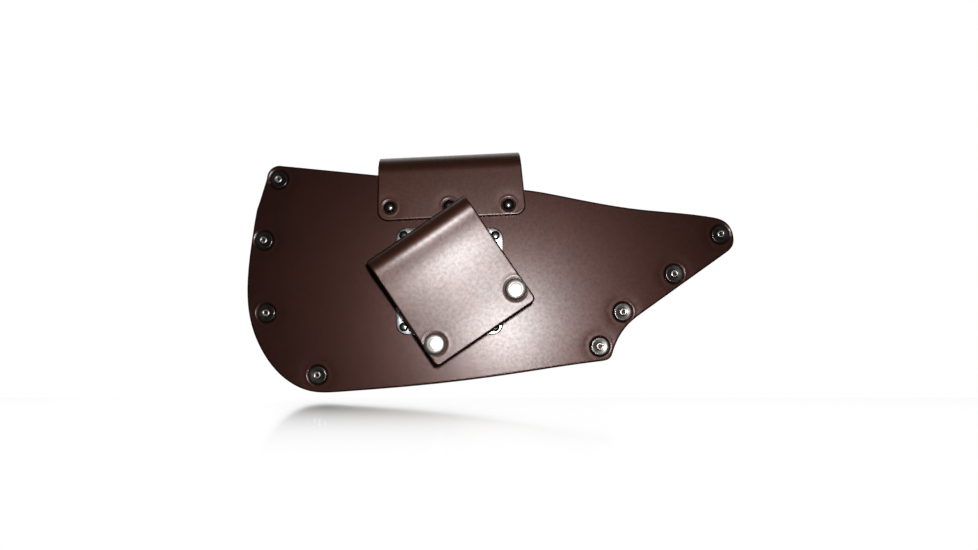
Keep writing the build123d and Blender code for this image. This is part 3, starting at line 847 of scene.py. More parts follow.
def plated_material(name, colour, tarnish, rough_low, rough_high, tarnish_share=0.5, scratches=0.25):
    """Plated steel: fine scratches, patchy polish and tarnish in the low places."""
    material = bpy.data.materials.new(name)
    material.use_nodes = True
    tree = material.node_tree
    nodes, links = tree.nodes, tree.links
    nodes.clear()

    patina = nodes.new("NodeFrame")
    patina.label = "Tarnish"
    polish = nodes.new("NodeFrame")
    polish.label = "Polish and scratches"

    place = nodes.new("ShaderNodeTexCoord")
    place.label = "Place on the fitting"
    place.parent = polish

    blotch = nodes.new("ShaderNodeTexNoise")
    blotch.label = "Blotches"
    blotch.inputs["Scale"].default_value = 420
    blotch.inputs["Detail"].default_value = 6
    blotch.inputs["Roughness"].default_value = 0.65
    blotch.parent = patina

    hollow = nodes.new("ShaderNodeAmbientOcclusion")
    hollow.label = "Low places"
    hollow.inputs["Distance"].default_value = 0.0012
    hollow.samples = 8
    hollow.parent = patina

    hollow_range = nodes.new("ShaderNodeMapRange")
    hollow_range.label = "Dirt in the low places"
    hollow_range.inputs["From Min"].default_value = 0.35
    hollow_range.inputs["From Max"].default_value = 0.95
    hollow_range.inputs["To Min"].default_value = 0.75
    hollow_range.inputs["To Max"].default_value = 0.0
    hollow_range.parent = patina

    blotch_range = nodes.new("ShaderNodeMapRange")
    blotch_range.label = "How much blotches show"
    blotch_range.inputs["From Min"].default_value = 0.45
    blotch_range.inputs["From Max"].default_value = 0.8
    blotch_range.inputs["To Max"].default_value = tarnish_share
    blotch_range.parent = patina

    tarnish_sum = nodes.new("ShaderNodeMath")
    tarnish_sum.label = "All tarnish"
    tarnish_sum.operation = "ADD"
    tarnish_sum.use_clamp = True
    tarnish_sum.parent = patina

    tone = nodes.new("ShaderNodeMix")
    tone.label = "Plate to tarnish"
    tone.data_type = "RGBA"
    tone.inputs["A"].default_value = (*colour, 1)
    tone.inputs["B"].default_value = (*tarnish, 1)
    tone.parent = patina

    smear = nodes.new("ShaderNodeMapping")
    smear.label = "Long scratches"
    smear.inputs["Scale"].default_value = (1.0, 1.0, 9.0)
    smear.inputs["Rotation"].default_value = (0.3, 0.7, 0.2)
    smear.parent = polish

    scratch = nodes.new("ShaderNodeTexNoise")
    scratch.label = "Fine scratches"
    scratch.inputs["Scale"].default_value = 1400
    scratch.inputs["Detail"].default_value = 4
    scratch.inputs["Roughness"].default_value = 0.7
    scratch.parent = polish

    scratch_bump = nodes.new("ShaderNodeBump")
    scratch_bump.label = "Scratch relief"
    scratch_bump.inputs["Distance"].default_value = 0.00002
    scratch_bump.inputs["Strength"].default_value = scratches
    scratch_bump.parent = polish

    rough = nodes.new("ShaderNodeMapRange")
    rough.label = "Patchy polish"
    rough.inputs["From Min"].default_value = 0.3
    rough.inputs["From Max"].default_value = 0.7
    rough.inputs["To Min"].default_value = rough_low
    rough.inputs["To Max"].default_value = rough_high
    rough.parent = polish

    shader = nodes.new("ShaderNodeBsdfPrincipled")
    shader.label = "Plated steel"
    shader.inputs["Metallic"].default_value = 1.0

    output = nodes.new("ShaderNodeOutputMaterial")
    output.label = "Surface"

    links.new(place.outputs["Object"], blotch.inputs["Vector"])
    links.new(blotch.outputs["Fac"], blotch_range.inputs["Value"])
    links.new(hollow.outputs["AO"], hollow_range.inputs["Value"])
    links.new(hollow_range.outputs["Result"], tarnish_sum.inputs[0])
    links.new(blotch_range.outputs["Result"], tarnish_sum.inputs[1])
    links.new(tarnish_sum.outputs[0], tone.inputs["Factor"])
    links.new(tone.outputs["Result"], shader.inputs["Base Color"])
    links.new(place.outputs["Object"], smear.inputs["Vector"])
    links.new(smear.outputs["Vector"], scratch.inputs["Vector"])
    links.new(scratch.outputs["Fac"], scratch_bump.inputs["Height"])
    links.new(scratch_bump.outputs["Normal"], shader.inputs["Normal"])
    links.new(blotch.outputs["Fac"], rough.inputs["Value"])
    links.new(rough.outputs["Result"], shader.inputs["Roughness"])
    links.new(shader.outputs["BSDF"], output.inputs["Surface"])
    spread(tree)
    return material


def material_named(name):
    """Material of this name, made the first time it is asked for."""
    found = bpy.data.materials.get(name)
    if found:
        return found
    leather, metal = bpy.context.scene.sheath_leather, bpy.context.scene.sheath_metal
    tones = (tuple(leather.colour), tuple(leather.dark), tuple(leather.edge), tuple(leather.flesh))
    strap_tones = (tuple(leather.strap), tuple(leather.strap_dark), *tones[2:])
    if name == "sheath_pouch_leather":
        return leather_material(name, *tones)
    if name == "sheath_strap_leather":
        return leather_material(name, *strap_tones, gloss=0.30, clouds=14.0, wax=1.55)
    if name == "sheath_welt_leather":
        return leather_material(name, *tones, gloss=0.38, clouds=20.0)
    if name == "sheath_bright_nickel":
        return plated_material(name, tuple(metal.bright), tuple(metal.tarnish), 0.32, 0.46, 0.25, 0.3)
    if name == "sheath_rolled_rivet":
        return plated_material(name, tuple(metal.bright), tuple(metal.tarnish), 0.22, 0.42, 0.5, 0.4)
    if name == "sheath_antique_nickel":
        return plated_material(name, tuple(metal.dark), tuple(metal.tarnish), 0.17, 0.28, 0.5, 0.4)
    if name == "sheath_zinc_plate":
        return plated_material(name, tuple(metal.zinc), tuple(metal.tarnish), 0.20, 0.34, 0.3, 0.3)
    raise RuntimeError(f"there is no finish called {name}")


# ---------------------------------------------------------------- pouch
def bulge_at(x, z):
    """How far the outer panel stands out."""
    pouch = bpy.context.scene.sheath_pouch
    height = front_high.y - back_high.y - WELT - bpy.context.scene.sheath_leather.thickness
    reach = np.where(x < pouch.bulge_centre, pouch.blade_reach, pouch.pick_reach + pouch.pick_slope * z)
    rise = np.maximum(1 - np.abs(x - pouch.bulge_centre) / reach, 0)
    return height * rise * rise * (3 - 2 * rise)


def outer_face(x, z):
    """y of the outer panel's outside face."""
    return front_low.y + bpy.context.scene.sheath_leather.thickness + bulge_at(x, z)


def outer_slopes(x, z, step=0.5 * MM):
    """Slopes of the outer panel along x and z."""
    along_x = (outer_face(x + step, z) - outer_face(x - step, z)) / (2 * step)
    along_z = (outer_face(x, z + step) - outer_face(x, z - step)) / (2 * step)
    return along_x, along_z


class SHEATH_OT_panels(bpy.types.Operator):
    """Cut the two panels, press their dimples and bulge the outer one."""

    bl_idname = "sheath.panels"
    bl_label = "Panels"

    def execute(self, context):
        leather, pouch = context.scene.sheath_leather, context.scene.sheath_pouch
        material = material_named("sheath_pouch_leather")
        outline = outline_of("back_panel")
        edge_rivets = [(c.x, c.z) for c in centres_of("edge_washers")]
        flap_rivets = [(c.x, c.z) for c in centres_of("flap_rivet_backs")]
        plate_rivets = [(c.x, c.z) for c in centres_of("base_plate_burrs")]
        closures = [(c.x, c.z) for c in centres_of("closure_studs")]
        half = leather.thickness / 2

        pattern = pattern_of(outline, leather.mesh_pitch, edge_rivets + plate_rivets)

        def lay_back(u, v, h):
            return np.column_stack([u, back_low.y + half - h, v])

        def press_back(points):
            grain = pressed_by(points, edge_rivets, 6.5 * MM, pouch.dimple)
            flesh = pressed_by(points, flap_rivets, 4.6 * MM, 0.5 * MM)
            return grain, flesh

        back = leather_piece(
            "pouch_back_leather", pattern, leather.thickness, leather.edge_radius, lay_back, press_back
        )
        finish_piece(back, material, "pouch", "pouch_leather", "back_panel")

        pattern = pattern_of(outline, leather.mesh_pitch, edge_rivets + closures)

        def lay_front(u, v, h):
            slope_x, slope_z = outer_slopes(u, v)
            size = np.sqrt(1 + slope_x**2 + slope_z**2)
            lift = h / size
            middle = outer_face(u, v) - half
            return np.column_stack([u - slope_x * lift, middle + lift, v - slope_z * lift])

        def press_front(points):
            grain = pressed_by(points, edge_rivets, 5.3 * MM, 0.35 * MM)
            grain += pressed_by(points, closures, 5.1 * MM, 0.25 * MM)
            return grain, 0 * grain

        front = leather_piece(
            "pouch_outer_leather", pattern, leather.thickness, leather.edge_radius, lay_front, press_front
        )
        finish_piece(front, material, "pouch", "pouch_leather", "front_panel")
        return {"FINISHED"}


class SHEATH_OT_welts(bpy.types.Operator):
    """Cut the two-layer welts that keep the panels apart."""

    bl_idname = "sheath.welts"
    bl_label = "Welts"

    def execute(self, context):
        leather = context.scene.sheath_leather
        material = material_named("sheath_welt_leather")
        for node in ("blade_welt", "pick_welt"):
            low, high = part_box(node)
            thickness = high.y - low.y
            outline = inset(resampled(outline_of(node), 1.2 * MM), 0.25 * MM)
            pattern = pattern_of(outline, leather.mesh_pitch * 1.6)

            def lay_welt(u, v, h, middle=(low.y + high.y) / 2):
                return np.column_stack([u, middle - h, v])

            welt = leather_piece(
                f"{node}_leather", pattern, thickness, 0.5 * leather.edge_radius, lay_welt, layers=2
            )
            finish_piece(welt, material, "pouch", "welt_leather", node)
        return {"FINISHED"}


# ---------------------------------------------------------------- keeper flap
class SHEATH_OT_flap(bpy.types.Operator):
    """Fold the keeper flap over the mouth, from its rivets to its snaps."""

    bl_idname = "sheath.flap"
    bl_label = "Keeper Flap"

    def execute(self, context):
        leather, flap = context.scene.sheath_leather, context.scene.sheath_flap
        rear = flap_low.y + leather.thickness / 2
        bend_centre = rear + flap.bend
        leg = flap.shoulder - flap.low_edge
        rear_bend = flap.bend * pi / 2
        front_bend = 26 * MM
        total = leg + rear_bend + front_bend + flap.shoulder - flap.free_edge
        crest = leg + rear_bend

        def station(across, along):
            """Mid-thickness y and height of the flap at pattern points."""
            on_rear = np.clip((along - leg) / rear_bend, 0, 1) * pi / 2
            on_front = np.clip((along - crest) / front_bend, 0, 1) * pi / 2
            down = np.maximum(along - crest - front_bend, 0)
            up = np.where(along < leg, flap.low_edge + along, flap.shoulder - down)
            up = up + flap.bend * np.where(along < crest, np.sin(on_rear), np.cos(on_front)) * (along >= leg)
            x, z = turned_into(across + flap.shift, np.minimum(up, flap.shoulder), flap_tilt)
            front = outer_face(x, z) + flap.gap + leather.thickness / 2
            y_rear = bend_centre - flap.bend * np.cos(on_rear)
            y_front = bend_centre + (front - bend_centre) * np.sin(on_front)
            return np.where(along < crest, y_rear, y_front), up

        def lay(u, v, h):
            step = 0.4 * MM
            y, up = station(u, v)
            y_before, up_before = station(u, v - step)
            y_after, up_after = station(u, v + step)
            way = np.column_stack([y_after - y_before, up_after - up_before])
            way /= np.linalg.norm(way, axis=1)[:, None]
            y, up = y - way[:, 1] * h, up + way[:, 0] * h
            x, z = turned_into(u + flap.shift, up, flap_tilt)
            return np.column_stack([x, y, z])

        corners = [
            (-flap.low_half, 0), (flap.low_half, 0), (flap.crest_half, crest), (flap.crest_half, total),
            (-flap.crest_half, total), (-flap.crest_half, crest),
        ]
        radius = 7 * MM
        outline = rounded(corners, [radius, radius, 0, radius, radius, 0])
        heights = [(c.x, c.z) for c in centres_of("flap_rivet_backs")]
        rivets = [turned_into(x, z, -flap_tilt) for x, z in heights]
        rivets = [(x - flap.shift, z - flap.low_edge) for x, z in rivets]
        snaps = [turned_into(c.x, c.z, -flap_tilt) for c in centres_of("closure_caps")]
        snaps = [(x - flap.shift, crest + front_bend + flap.shoulder - z) for x, z in snaps]
        pattern = pattern_of(outline, leather.mesh_pitch * 0.8, rivets + snaps, 0.85)

        def press(points):
            grain = pressed_by(points, rivets, 4.3 * MM, 0.55 * MM)
            grain += pressed_by(points, snaps, 7.8 * MM, 0.30 * MM)
            return grain, 0 * grain

        piece = leather_piece(
            "keeper_flap_leather", pattern, leather.thickness, leather.edge_radius, lay, press
        )
        material = material_named("sheath_strap_leather")
        finish_piece(piece, material, None, "flap_leather", "flap_fixed_leg", "flap_free_leg")
        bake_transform(piece)
        return {"FINISHED"}


# ---------------------------------------------------------------- belt loop
class SHEATH_OT_loop(bpy.types.Operator):
    """Fold the belt loop and bring its two legs together at the snaps."""

    bl_idname = "sheath.loop"
    bl_label = "Belt Loop"

    def execute(self, context):
        leather, loop = context.scene.sheath_leather, context.scene.sheath_loop
        half = leather.thickness / 2
        bend_up = loop.top - half - loop.bend
        crest = half - loop.bend
        front = -(loop.depth - 3 * half)
        low = -loop.snap_gap - half
        fall = 7.5 * MM  # height over which the fold rolls forward and down
        shoulder_up = loop.top - half - fall
        flat_from = -24.2 * MM  # the legs run parallel from here down
        slope_top, slope_low = 8 * MM, 45 * MM
        quarter = [
            (crest + loop.bend * cos(a), bend_up + loop.bend * sin(a)) for a in np.linspace(0, pi / 2, 16)
        ]
        pull = 0.5523  # share of a quarter turn's radius that rounds it
        roll = interpolate_bezier(
            (crest, bend_up + loop.bend, 0), (crest + pull * (front - crest), bend_up + loop.bend, 0),
            (front, shoulder_up + pull * fall, 0), (front, shoulder_up, 0), 24,
        )
        slope = interpolate_bezier(
            (front, shoulder_up, 0), (front, shoulder_up - slope_top, 0),
            (low, flat_from + slope_low, 0), (low, flat_from, 0), 48,
        )
        path = [(half, -loop.end)] + quarter
        path += [(p.x, p.y) for p in roll[1:]] + [(p.x, p.y) for p in slope[1:]] + [(low, -loop.end)]
        path = np.array(path)
        along = np.concatenate([[0], np.cumsum(np.linalg.norm(np.diff(path, axis=0), axis=1))])
        fine = np.linspace(0, along[-1], 900)
        smooth = np.column_stack([np.interp(fine, along, path[:, axis]) for axis in (0, 1)])
        way = np.gradient(smooth, fine, axis=0)
        for _ in range(12):
            way[1:-1] = (way[:-2] + way[1:-1] * 2 + way[2:]) / 4
        way /= np.linalg.norm(way, axis=1)[:, None]
        total = along[-1]
        crest_at = along[len(quarter)]

        def lay(u, v, h):
            y = np.interp(v, fine, smooth[:, 0])
            up = np.interp(v, fine, smooth[:, 1])
            up = np.where(v < 0, -loop.end + v, np.where(v > total, -loop.end - (v - total), up))
            way_y, way_up = np.interp(v, fine, way[:, 0]), np.interp(v, fine, way[:, 1])
            y, up = y + way_up * h, up - way_y * h
            x, z = turned_into(u + loop.shift, up, loop_tilt)
            return np.column_stack([x, y, z])

        corners = [
            (-loop.end_half, 0), (loop.end_half, 0), (loop.fold_half, crest_at), (loop.end_half, total),
            (-loop.end_half, total), (-loop.fold_half, crest_at),
        ]
        radius = 3.5 * MM
        outline = rounded(corners, [radius, radius, 0, radius, radius, 0])

        def on_front(centres):
            places = [turned_into(c.x, c.z, -loop_tilt) for c in centres]
            return [(x - loop.shift, total - loop.end - z) for x, z in places]

        def on_back(centres):
            places = [turned_into(c.x, c.z, -loop_tilt) for c in centres]
            return [(x - loop.shift, loop.end + z) for x, z in places]

        caps = on_front(centres_of("loop_snap_caps"))
        studs = on_back(centres_of("loop_studs"))
        heads = on_back(centres_of("hanger_rivets"))
        pattern = pattern_of(outline, leather.mesh_pitch * 0.75, caps, 1.1)

        def press(points):
            grain = pressed_by(points, caps, 7.9 * MM, 0.25 * MM)
            flesh = pressed_by(points, studs, 5.2 * MM, 0.2 * MM)
            flesh += pressed_by(points, heads, 3.1 * MM, 0.2 * MM)
            return grain, flesh

        piece = leather_piece(
            "belt_loop_leather", pattern, leather.thickness, leather.edge_radius, lay, press
        )
        material = material_named("sheath_strap_leather")
        finish_piece(piece, material, None, "loop_leather", "loop_back_leg", "loop_front_leg")
        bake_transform(piece)
        return {"FINISHED"}


# ---------------------------------------------------------------- rivets
class SHEATH_OT_edge_rivets(bpy.types.Operator):
    """Turn the tubular rivets of the two panels and their washers."""

    bl_idname = "sheath.edge_rivets"
    bl_label = "Edge Rivets"

    def execute(self, context):
        boxes = solids_of("edge_washers")
        centres = [(low + high) / 2 for low, high in boxes]
        face = boxes[0][1].y - 0.6 * MM
        seats = seats_facing_belt(centres, face)
        washer = [(2.35, -0.58), (6.0, -0.58)] + arc((6.0, -0.28), 0.35, -90, 0)
        washer += arc((5.85, -0.05), 0.5, 0, 90)
        washer += [(4.6, 0.40), (3.4, 0.30)] + arc((2.7, 0.12), 0.15, 90, 180, 3)
        piece = turned_group("edge_rivet_washers", washer, seats, 72)
        finish_piece(piece, material_named("sheath_antique_nickel"), "pouch", "dark_washer", "edge_washers")
        back = -(solids_of("edge_rivets")[0][1].y - face) / MM
        crown = [(0, -5.0), (1.15, -5.0), (1.2, 0.3)] + arc((1.95, 0.62), 0.68, 180, 0, 12)
        crown += [(2.5, 0.35), (2.2, 0.25), (2.2, back + 1.6), (4.9, back + 1.6)]
        crown += arc((4.9, back + 1.3), 0.3, 90, -40, 5) + [(4.2, back + 0.45), (2.6, back + 0.1), (0, back)]
        piece = turned_group("edge_rivet_tubes", crown, seats, 56)
        finish_piece(piece, material_named("sheath_rolled_rivet"), "pouch", "rivet_steel", "edge_rivets")
        return {"FINISHED"}


class SHEATH_OT_flap_rivets(bpy.types.Operator):
    """Turn the domed double-cap rivets of the keeper flap."""

    bl_idname = "sheath.flap_rivets"
    bl_label = "Flap Rivets"

    def execute(self, context):
        centres = centres_of("flap_rivet_backs")
        material = material_named("sheath_antique_nickel")
        seats = seats_facing_belt(centres, flap_low.y)
        cap = [(0, -3.4), (1.45, -3.4), (1.45, -0.4), (3.8, -0.4)] + arc((3.8, 0.0), 0.42, -90, 30, 5)
        cap += [(4.0, 0.55), (3.5, 1.05), (2.85, 1.42), (2.0, 1.72), (1.0, 1.9), (0, 1.95)]
        piece = turned_group("flap_rivet_caps", cap, seats, 56)
        finish_piece(piece, material, "pouch", "dark_rivet", "flap_rivets")
        turn = Matrix.Rotation(radians(-90), 4, "X")
        inner = [Matrix.Translation((c.x, back_high.y, c.z)) @ turn for c in centres]
        under = [(0, -0.5), (3.9, -0.5)] + arc((4.0, -0.1), 0.42, -90, 30, 5)
        under += [(3.9, 0.6), (3.0, 0.95), (1.8, 1.2), (0, 1.3)]
        piece = turned_group("flap_rivet_inner_caps", under, inner, 48)
        finish_piece(piece, material, "pouch", "dark_rivet", "flap_rivet_backs")
        return {"FINISHED"}


# ---------------------------------------------------------------- turntable
def pressed_plate(name, side, corner, stations, thickness, seat, segments=192):
    """Square steel plate with a pressed ring: stations are (radius, height) in mm, from the hole outwards."""
    outline = []
    for k in range(segments):
        angle = 2 * pi * k / segments
        way = np.array([cos(angle), sin(angle)])
        reach = side / 2 / max(abs(way))
        inner = side / 2 - corner
        if min(abs(way * reach)) > inner:
            middle = np.sign(way) * inner
            along = way @ middle
            reach = along + sqrt(max(along**2 - middle @ middle + corner**2, 0))
        outline.append((angle, reach))
    last = stations[-1]
    rows = [[(angle, radius, height) for angle, _ in outline] for radius, height in stations]
    for share, drop in ((0.25, 0), (0.5, 0), (0.75, 0), (0.94, 0), (0.985, 0.12), (1.0, 0.35)):
        level = last[1] - drop * thickness
        rows.append([(a, last[0] + (reach - last[0]) * share, level) for a, reach in outline])
    verts, polygons = [], []
    for lower in (0, 1):
        for row in rows:
            for angle, radius, height in row:
                level = height - lower * thickness * (1 if row is not rows[-1] else 0.3)
                verts.append(seat @ Vector((radius * cos(angle) * MM, radius * sin(angle) * MM, level * MM)))
    size = len(rows) * segments
    for j in range(len(rows) - 1):
        for k in range(segments):
            n = (k + 1) % segments
            a, b, c, d = j * segments + k, j * segments + n, (j + 1) * segments + n, (j + 1) * segments + k
            polygons.append((a, b, c, d))
            polygons.append((size + d, size + c, size + b, size + a))
    for j in (0, len(rows) - 1):
        for k in range(segments):
            n = (k + 1) % segments
            a, b = j * segments + k, j * segments + n
            polygons.append((a, b, size + b, size + a))
    mesh = bpy.data.meshes.new(name)
    mesh.from_pydata(verts, [], polygons)
    mesh.update()
    piece = bpy.data.objects.new(name, mesh)
    bpy.context.scene.collection.objects.link(piece)
    face_up(piece)
    mesh.shade_smooth()
    mesh.set_sharp_from_angle(angle=radians(38))
    return piece


class SHEATH_OT_turntable(bpy.types.Operator):
    """Press the two turntable plates and set their rivets."""

    bl_idname = "sheath.turntable"
    bl_label = "Turntable"

    def execute(self, context):
        side = (plate_high.x - plate_low.x) / MM
        zinc = material_named("sheath_zinc_plate")
        dark = material_named("sheath_antique_nickel")
        face = plate_high.y
        flat = Matrix.Translation((0, face, 0)) @ Matrix.Rotation(radians(90), 4, "X")
        base = [(20.0, 6.6), (23.4, 6.6), (23.4, 5.9), (21.0, 5.9), (21.0, 1.6), (22.6, 1.1), (23.6, 2.5)]
        base += [(24.4, 2.7), (25.4, 2.35), (27.0, 1.93), (28.6, 2.35), (29.6, 2.7), (30.6, 2.5)]
        base += [(31.6, 1.15), (33.0, 1.0)]
        corner, sheet = 8.0, 0.95
        piece = pressed_plate("turntable_base", side, corner, base, sheet, flat)
        finish_piece(piece, zinc, "pouch", "plate_steel", "swivel_base_plate")
        top_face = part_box("loop_back_leg")[1].y
        turned = Matrix.Rotation(-loop_tilt, 4, "Y") @ Matrix.Translation((0, top_face, 0))
        turned = turned @ Matrix.Rotation(radians(-90), 4, "X")
        top = [(21.1, 2.5), (24.1, 2.5), (24.5, 1.6), (25.4, 2.05), (27.0, 1.5), (28.6, 2.05), (29.6, 2.55)]
        top += [(30.4, 2.4), (31.4, 1.2), (33.0, 1.0)]
        piece = pressed_plate("turntable_top", side, corner, top, sheet, turned)
        finish_piece(piece, zinc, "hanger", "plate_steel", "swivel_top_plate")

        seats = seats_facing_belt(centres_of("base_plate_burrs"), face - 1.0 * MM)
        head = [(0, -5.8), (2.3, -5.8), (2.4, -5.4), (1.85, -5.2), (1.85, -0.05), (3.0, -0.05)]
        head += arc((2.85, 0.25), 0.3, -90, 20, 4) + [(2.85, 0.75), (2.2, 1.05), (1.2, 1.18), (0, 1.2)]
        piece = turned_group("base_plate_rivet_heads", head, seats, 40)
        finish_piece(piece, dark, "pouch", "dark_rivet", "base_plate_rivets")
        burr_seats = seats_facing_belt(centres_of("base_plate_burrs"), back_high.y)
        burr = [(1.95, 0.1), (1.95, -0.7), (2.3, -0.8)] + arc((4.1, -0.45), 0.35, -90, 0, 5) + [(4.5, 0.1)]
        piece = turned_group("base_plate_inner_burrs", burr, burr_seats, 40)
        finish_piece(piece, dark, "pouch", "dark_rivet", "base_plate_burrs")
        seats = seats_facing_belt(centres_of("hanger_rivets"), 0)
        head = [(0, -5.6), (2.4, -5.6), (2.7, -5.2), (2.7, -4.45), (1.85, -4.45), (1.85, -0.95), (2.4, -0.95)]
        head += arc((2.3, -0.6), 0.35, -60, 60, 4) + [(1.7, -0.15), (1.0, -0.03), (0, 0)]
        piece = turned_group("loop_rivet_heads", head, seats, 40)
        finish_piece(piece, dark, "hanger", "dark_rivet", "hanger_rivets")

        balls = frame["nodes"]["bearing_balls"]
        balls.data.materials.clear()
        balls.data.materials.append(material_named("sheath_bright_nickel"))
        return {"FINISHED"}


# ---------------------------------------------------------------- snaps
class SHEATH_OT_snaps(bpy.types.Operator):
    """Turn the press snaps of the belt loop and of the keeper flap."""

    bl_idname = "sheath.snaps"
    bl_label = "Press Snaps"

    def execute(self, context):
        leather, loop = context.scene.sheath_leather, context.scene.sheath_loop
        flap = context.scene.sheath_flap
        material = material_named("sheath_bright_nickel")
        cap = [(0, -3.4), (1.9, -3.4), (1.9, -0.3), (6.9, -0.3)] + arc((7.2, 0.25), 0.55, -90, 60, 8)
        cap += [(7.35, 0.86), (7.2, 0.98), (7.1, 1.3), (6.9, 1.62), (6.6, 1.86), (6.1, 2.08), (5.5, 2.26)]
        cap += [(5.0, 2.39), (4.6, 2.46), (4.35, 2.47), (4.1, 2.55), (3.4, 2.68), (2.6, 2.77), (1.7, 2.83)]
        cap += [(0.8, 2.86), (0, 2.87)]
        socket = [(0, 0.35), (5.6, 0.35), (6.1, 0.1), (6.25, -0.5), (6.2, -2.2), (5.9, -2.55), (5.2, -2.6)]
        socket += [(4.7, -2.5), (4.45, -2.1), (4.45, -0.7), (0, -0.7)]
        stud = [(2.4, -4.4), (2.4, -0.2), (4.4, -0.2), (4.95, 0.15), (4.9, 0.6), (4.3, 0.78), (3.0, 0.8)]
        stud += [(2.45, 1.2), (2.55, 1.9), (2.5, 2.35), (2.0, 2.6), (1.2, 2.66), (0, 2.68), (0, 2.2)]
        stud += [(1.7, 2.0), (1.7, -4.4)]
        post = [(0, -5.3), (3.6, -5.25), (4.25, -5.0), (4.3, -4.6), (3.6, -4.52), (1.7, -4.5), (1.6, 1.2)]
        post += [(0, 1.25)]
        front_face = -loop.snap_gap - leather.thickness
        caps, studs = centres_of("loop_snap_caps"), centres_of("loop_studs")
        on_front = seats_facing_belt(caps, front_face)
        on_back = seats_facing_belt(studs, 0)
        under_front = seats_facing_belt(caps, -loop.snap_gap)
        piece = turned_group("loop_snap_cap_domes", cap, on_front, 96)
        finish_piece(piece, material, "loop_front", "bright_snap", "loop_snap_caps")
        piece = turned_group("loop_snap_socket_rings", socket, under_front, 64)
        finish_piece(piece, material, "loop_front", "bright_snap", "loop_snap_sockets")
        piece = turned_group("loop_snap_studs", stud, on_back, 56)
        finish_piece(piece, material, "hanger", "bright_snap", "loop_studs")
        piece = turned_group("loop_snap_posts", post, on_back, 48)
        finish_piece(piece, material, "hanger", "bright_snap", "loop_stud_posts")

        seats = []
        for centre in centres_of("closure_studs"):
            x, z = centre.x, centre.z
            for _ in range(8):
                slope_x, slope_z = outer_slopes(x, z)
                away = centre.y - float(outer_face(x, z))
                x, z = centre.x + float(slope_x) * away, centre.z + float(slope_z) * away
            normal = Vector((-float(slope_x), 1, -float(slope_z))).normalized()
            turn = normal.to_track_quat("Z", "X").to_matrix().to_4x4()
            seats.append((Vector((x, float(outer_face(x, z)), z)), normal, turn))

        def lifted(lift):
            return [Matrix.Translation(spot + normal * lift) @ turn for spot, normal, turn in seats]

        squat, socket_squat = 0.85, 0.87  # the flap's snaps are a little flatter
        stud_foot, post_lift = -3.4, 0.9  # and have no steel plate behind them
        flat_stud = [(r, h * squat if h > 0 else max(h, stud_foot)) for r, h in stud]
        flat_post = [(r, h + post_lift if h < 0 else h * squat) for r, h in post]
        flat_socket = [(r, h * socket_squat) for r, h in socket]
        piece = turned_group("flap_snap_cap_domes", cap, lifted(flap.gap + leather.thickness), 96)
        finish_piece(piece, material, "flap", "bright_snap", "closure_caps")
        piece = turned_group("flap_snap_socket_rings", flat_socket, lifted(flap.gap), 64)
        finish_piece(piece, material, "flap", "bright_snap", "closure_sockets")
        piece = turned_group("flap_snap_studs", flat_stud, lifted(0), 56)
        finish_piece(piece, material, "pouch", "bright_snap", "closure_studs")
        piece = turned_group("flap_snap_posts", flat_post, lifted(0), 48)
        finish_piece(piece, material, "pouch", "bright_snap", "closure_stud_posts")
        return {"FINISHED"}


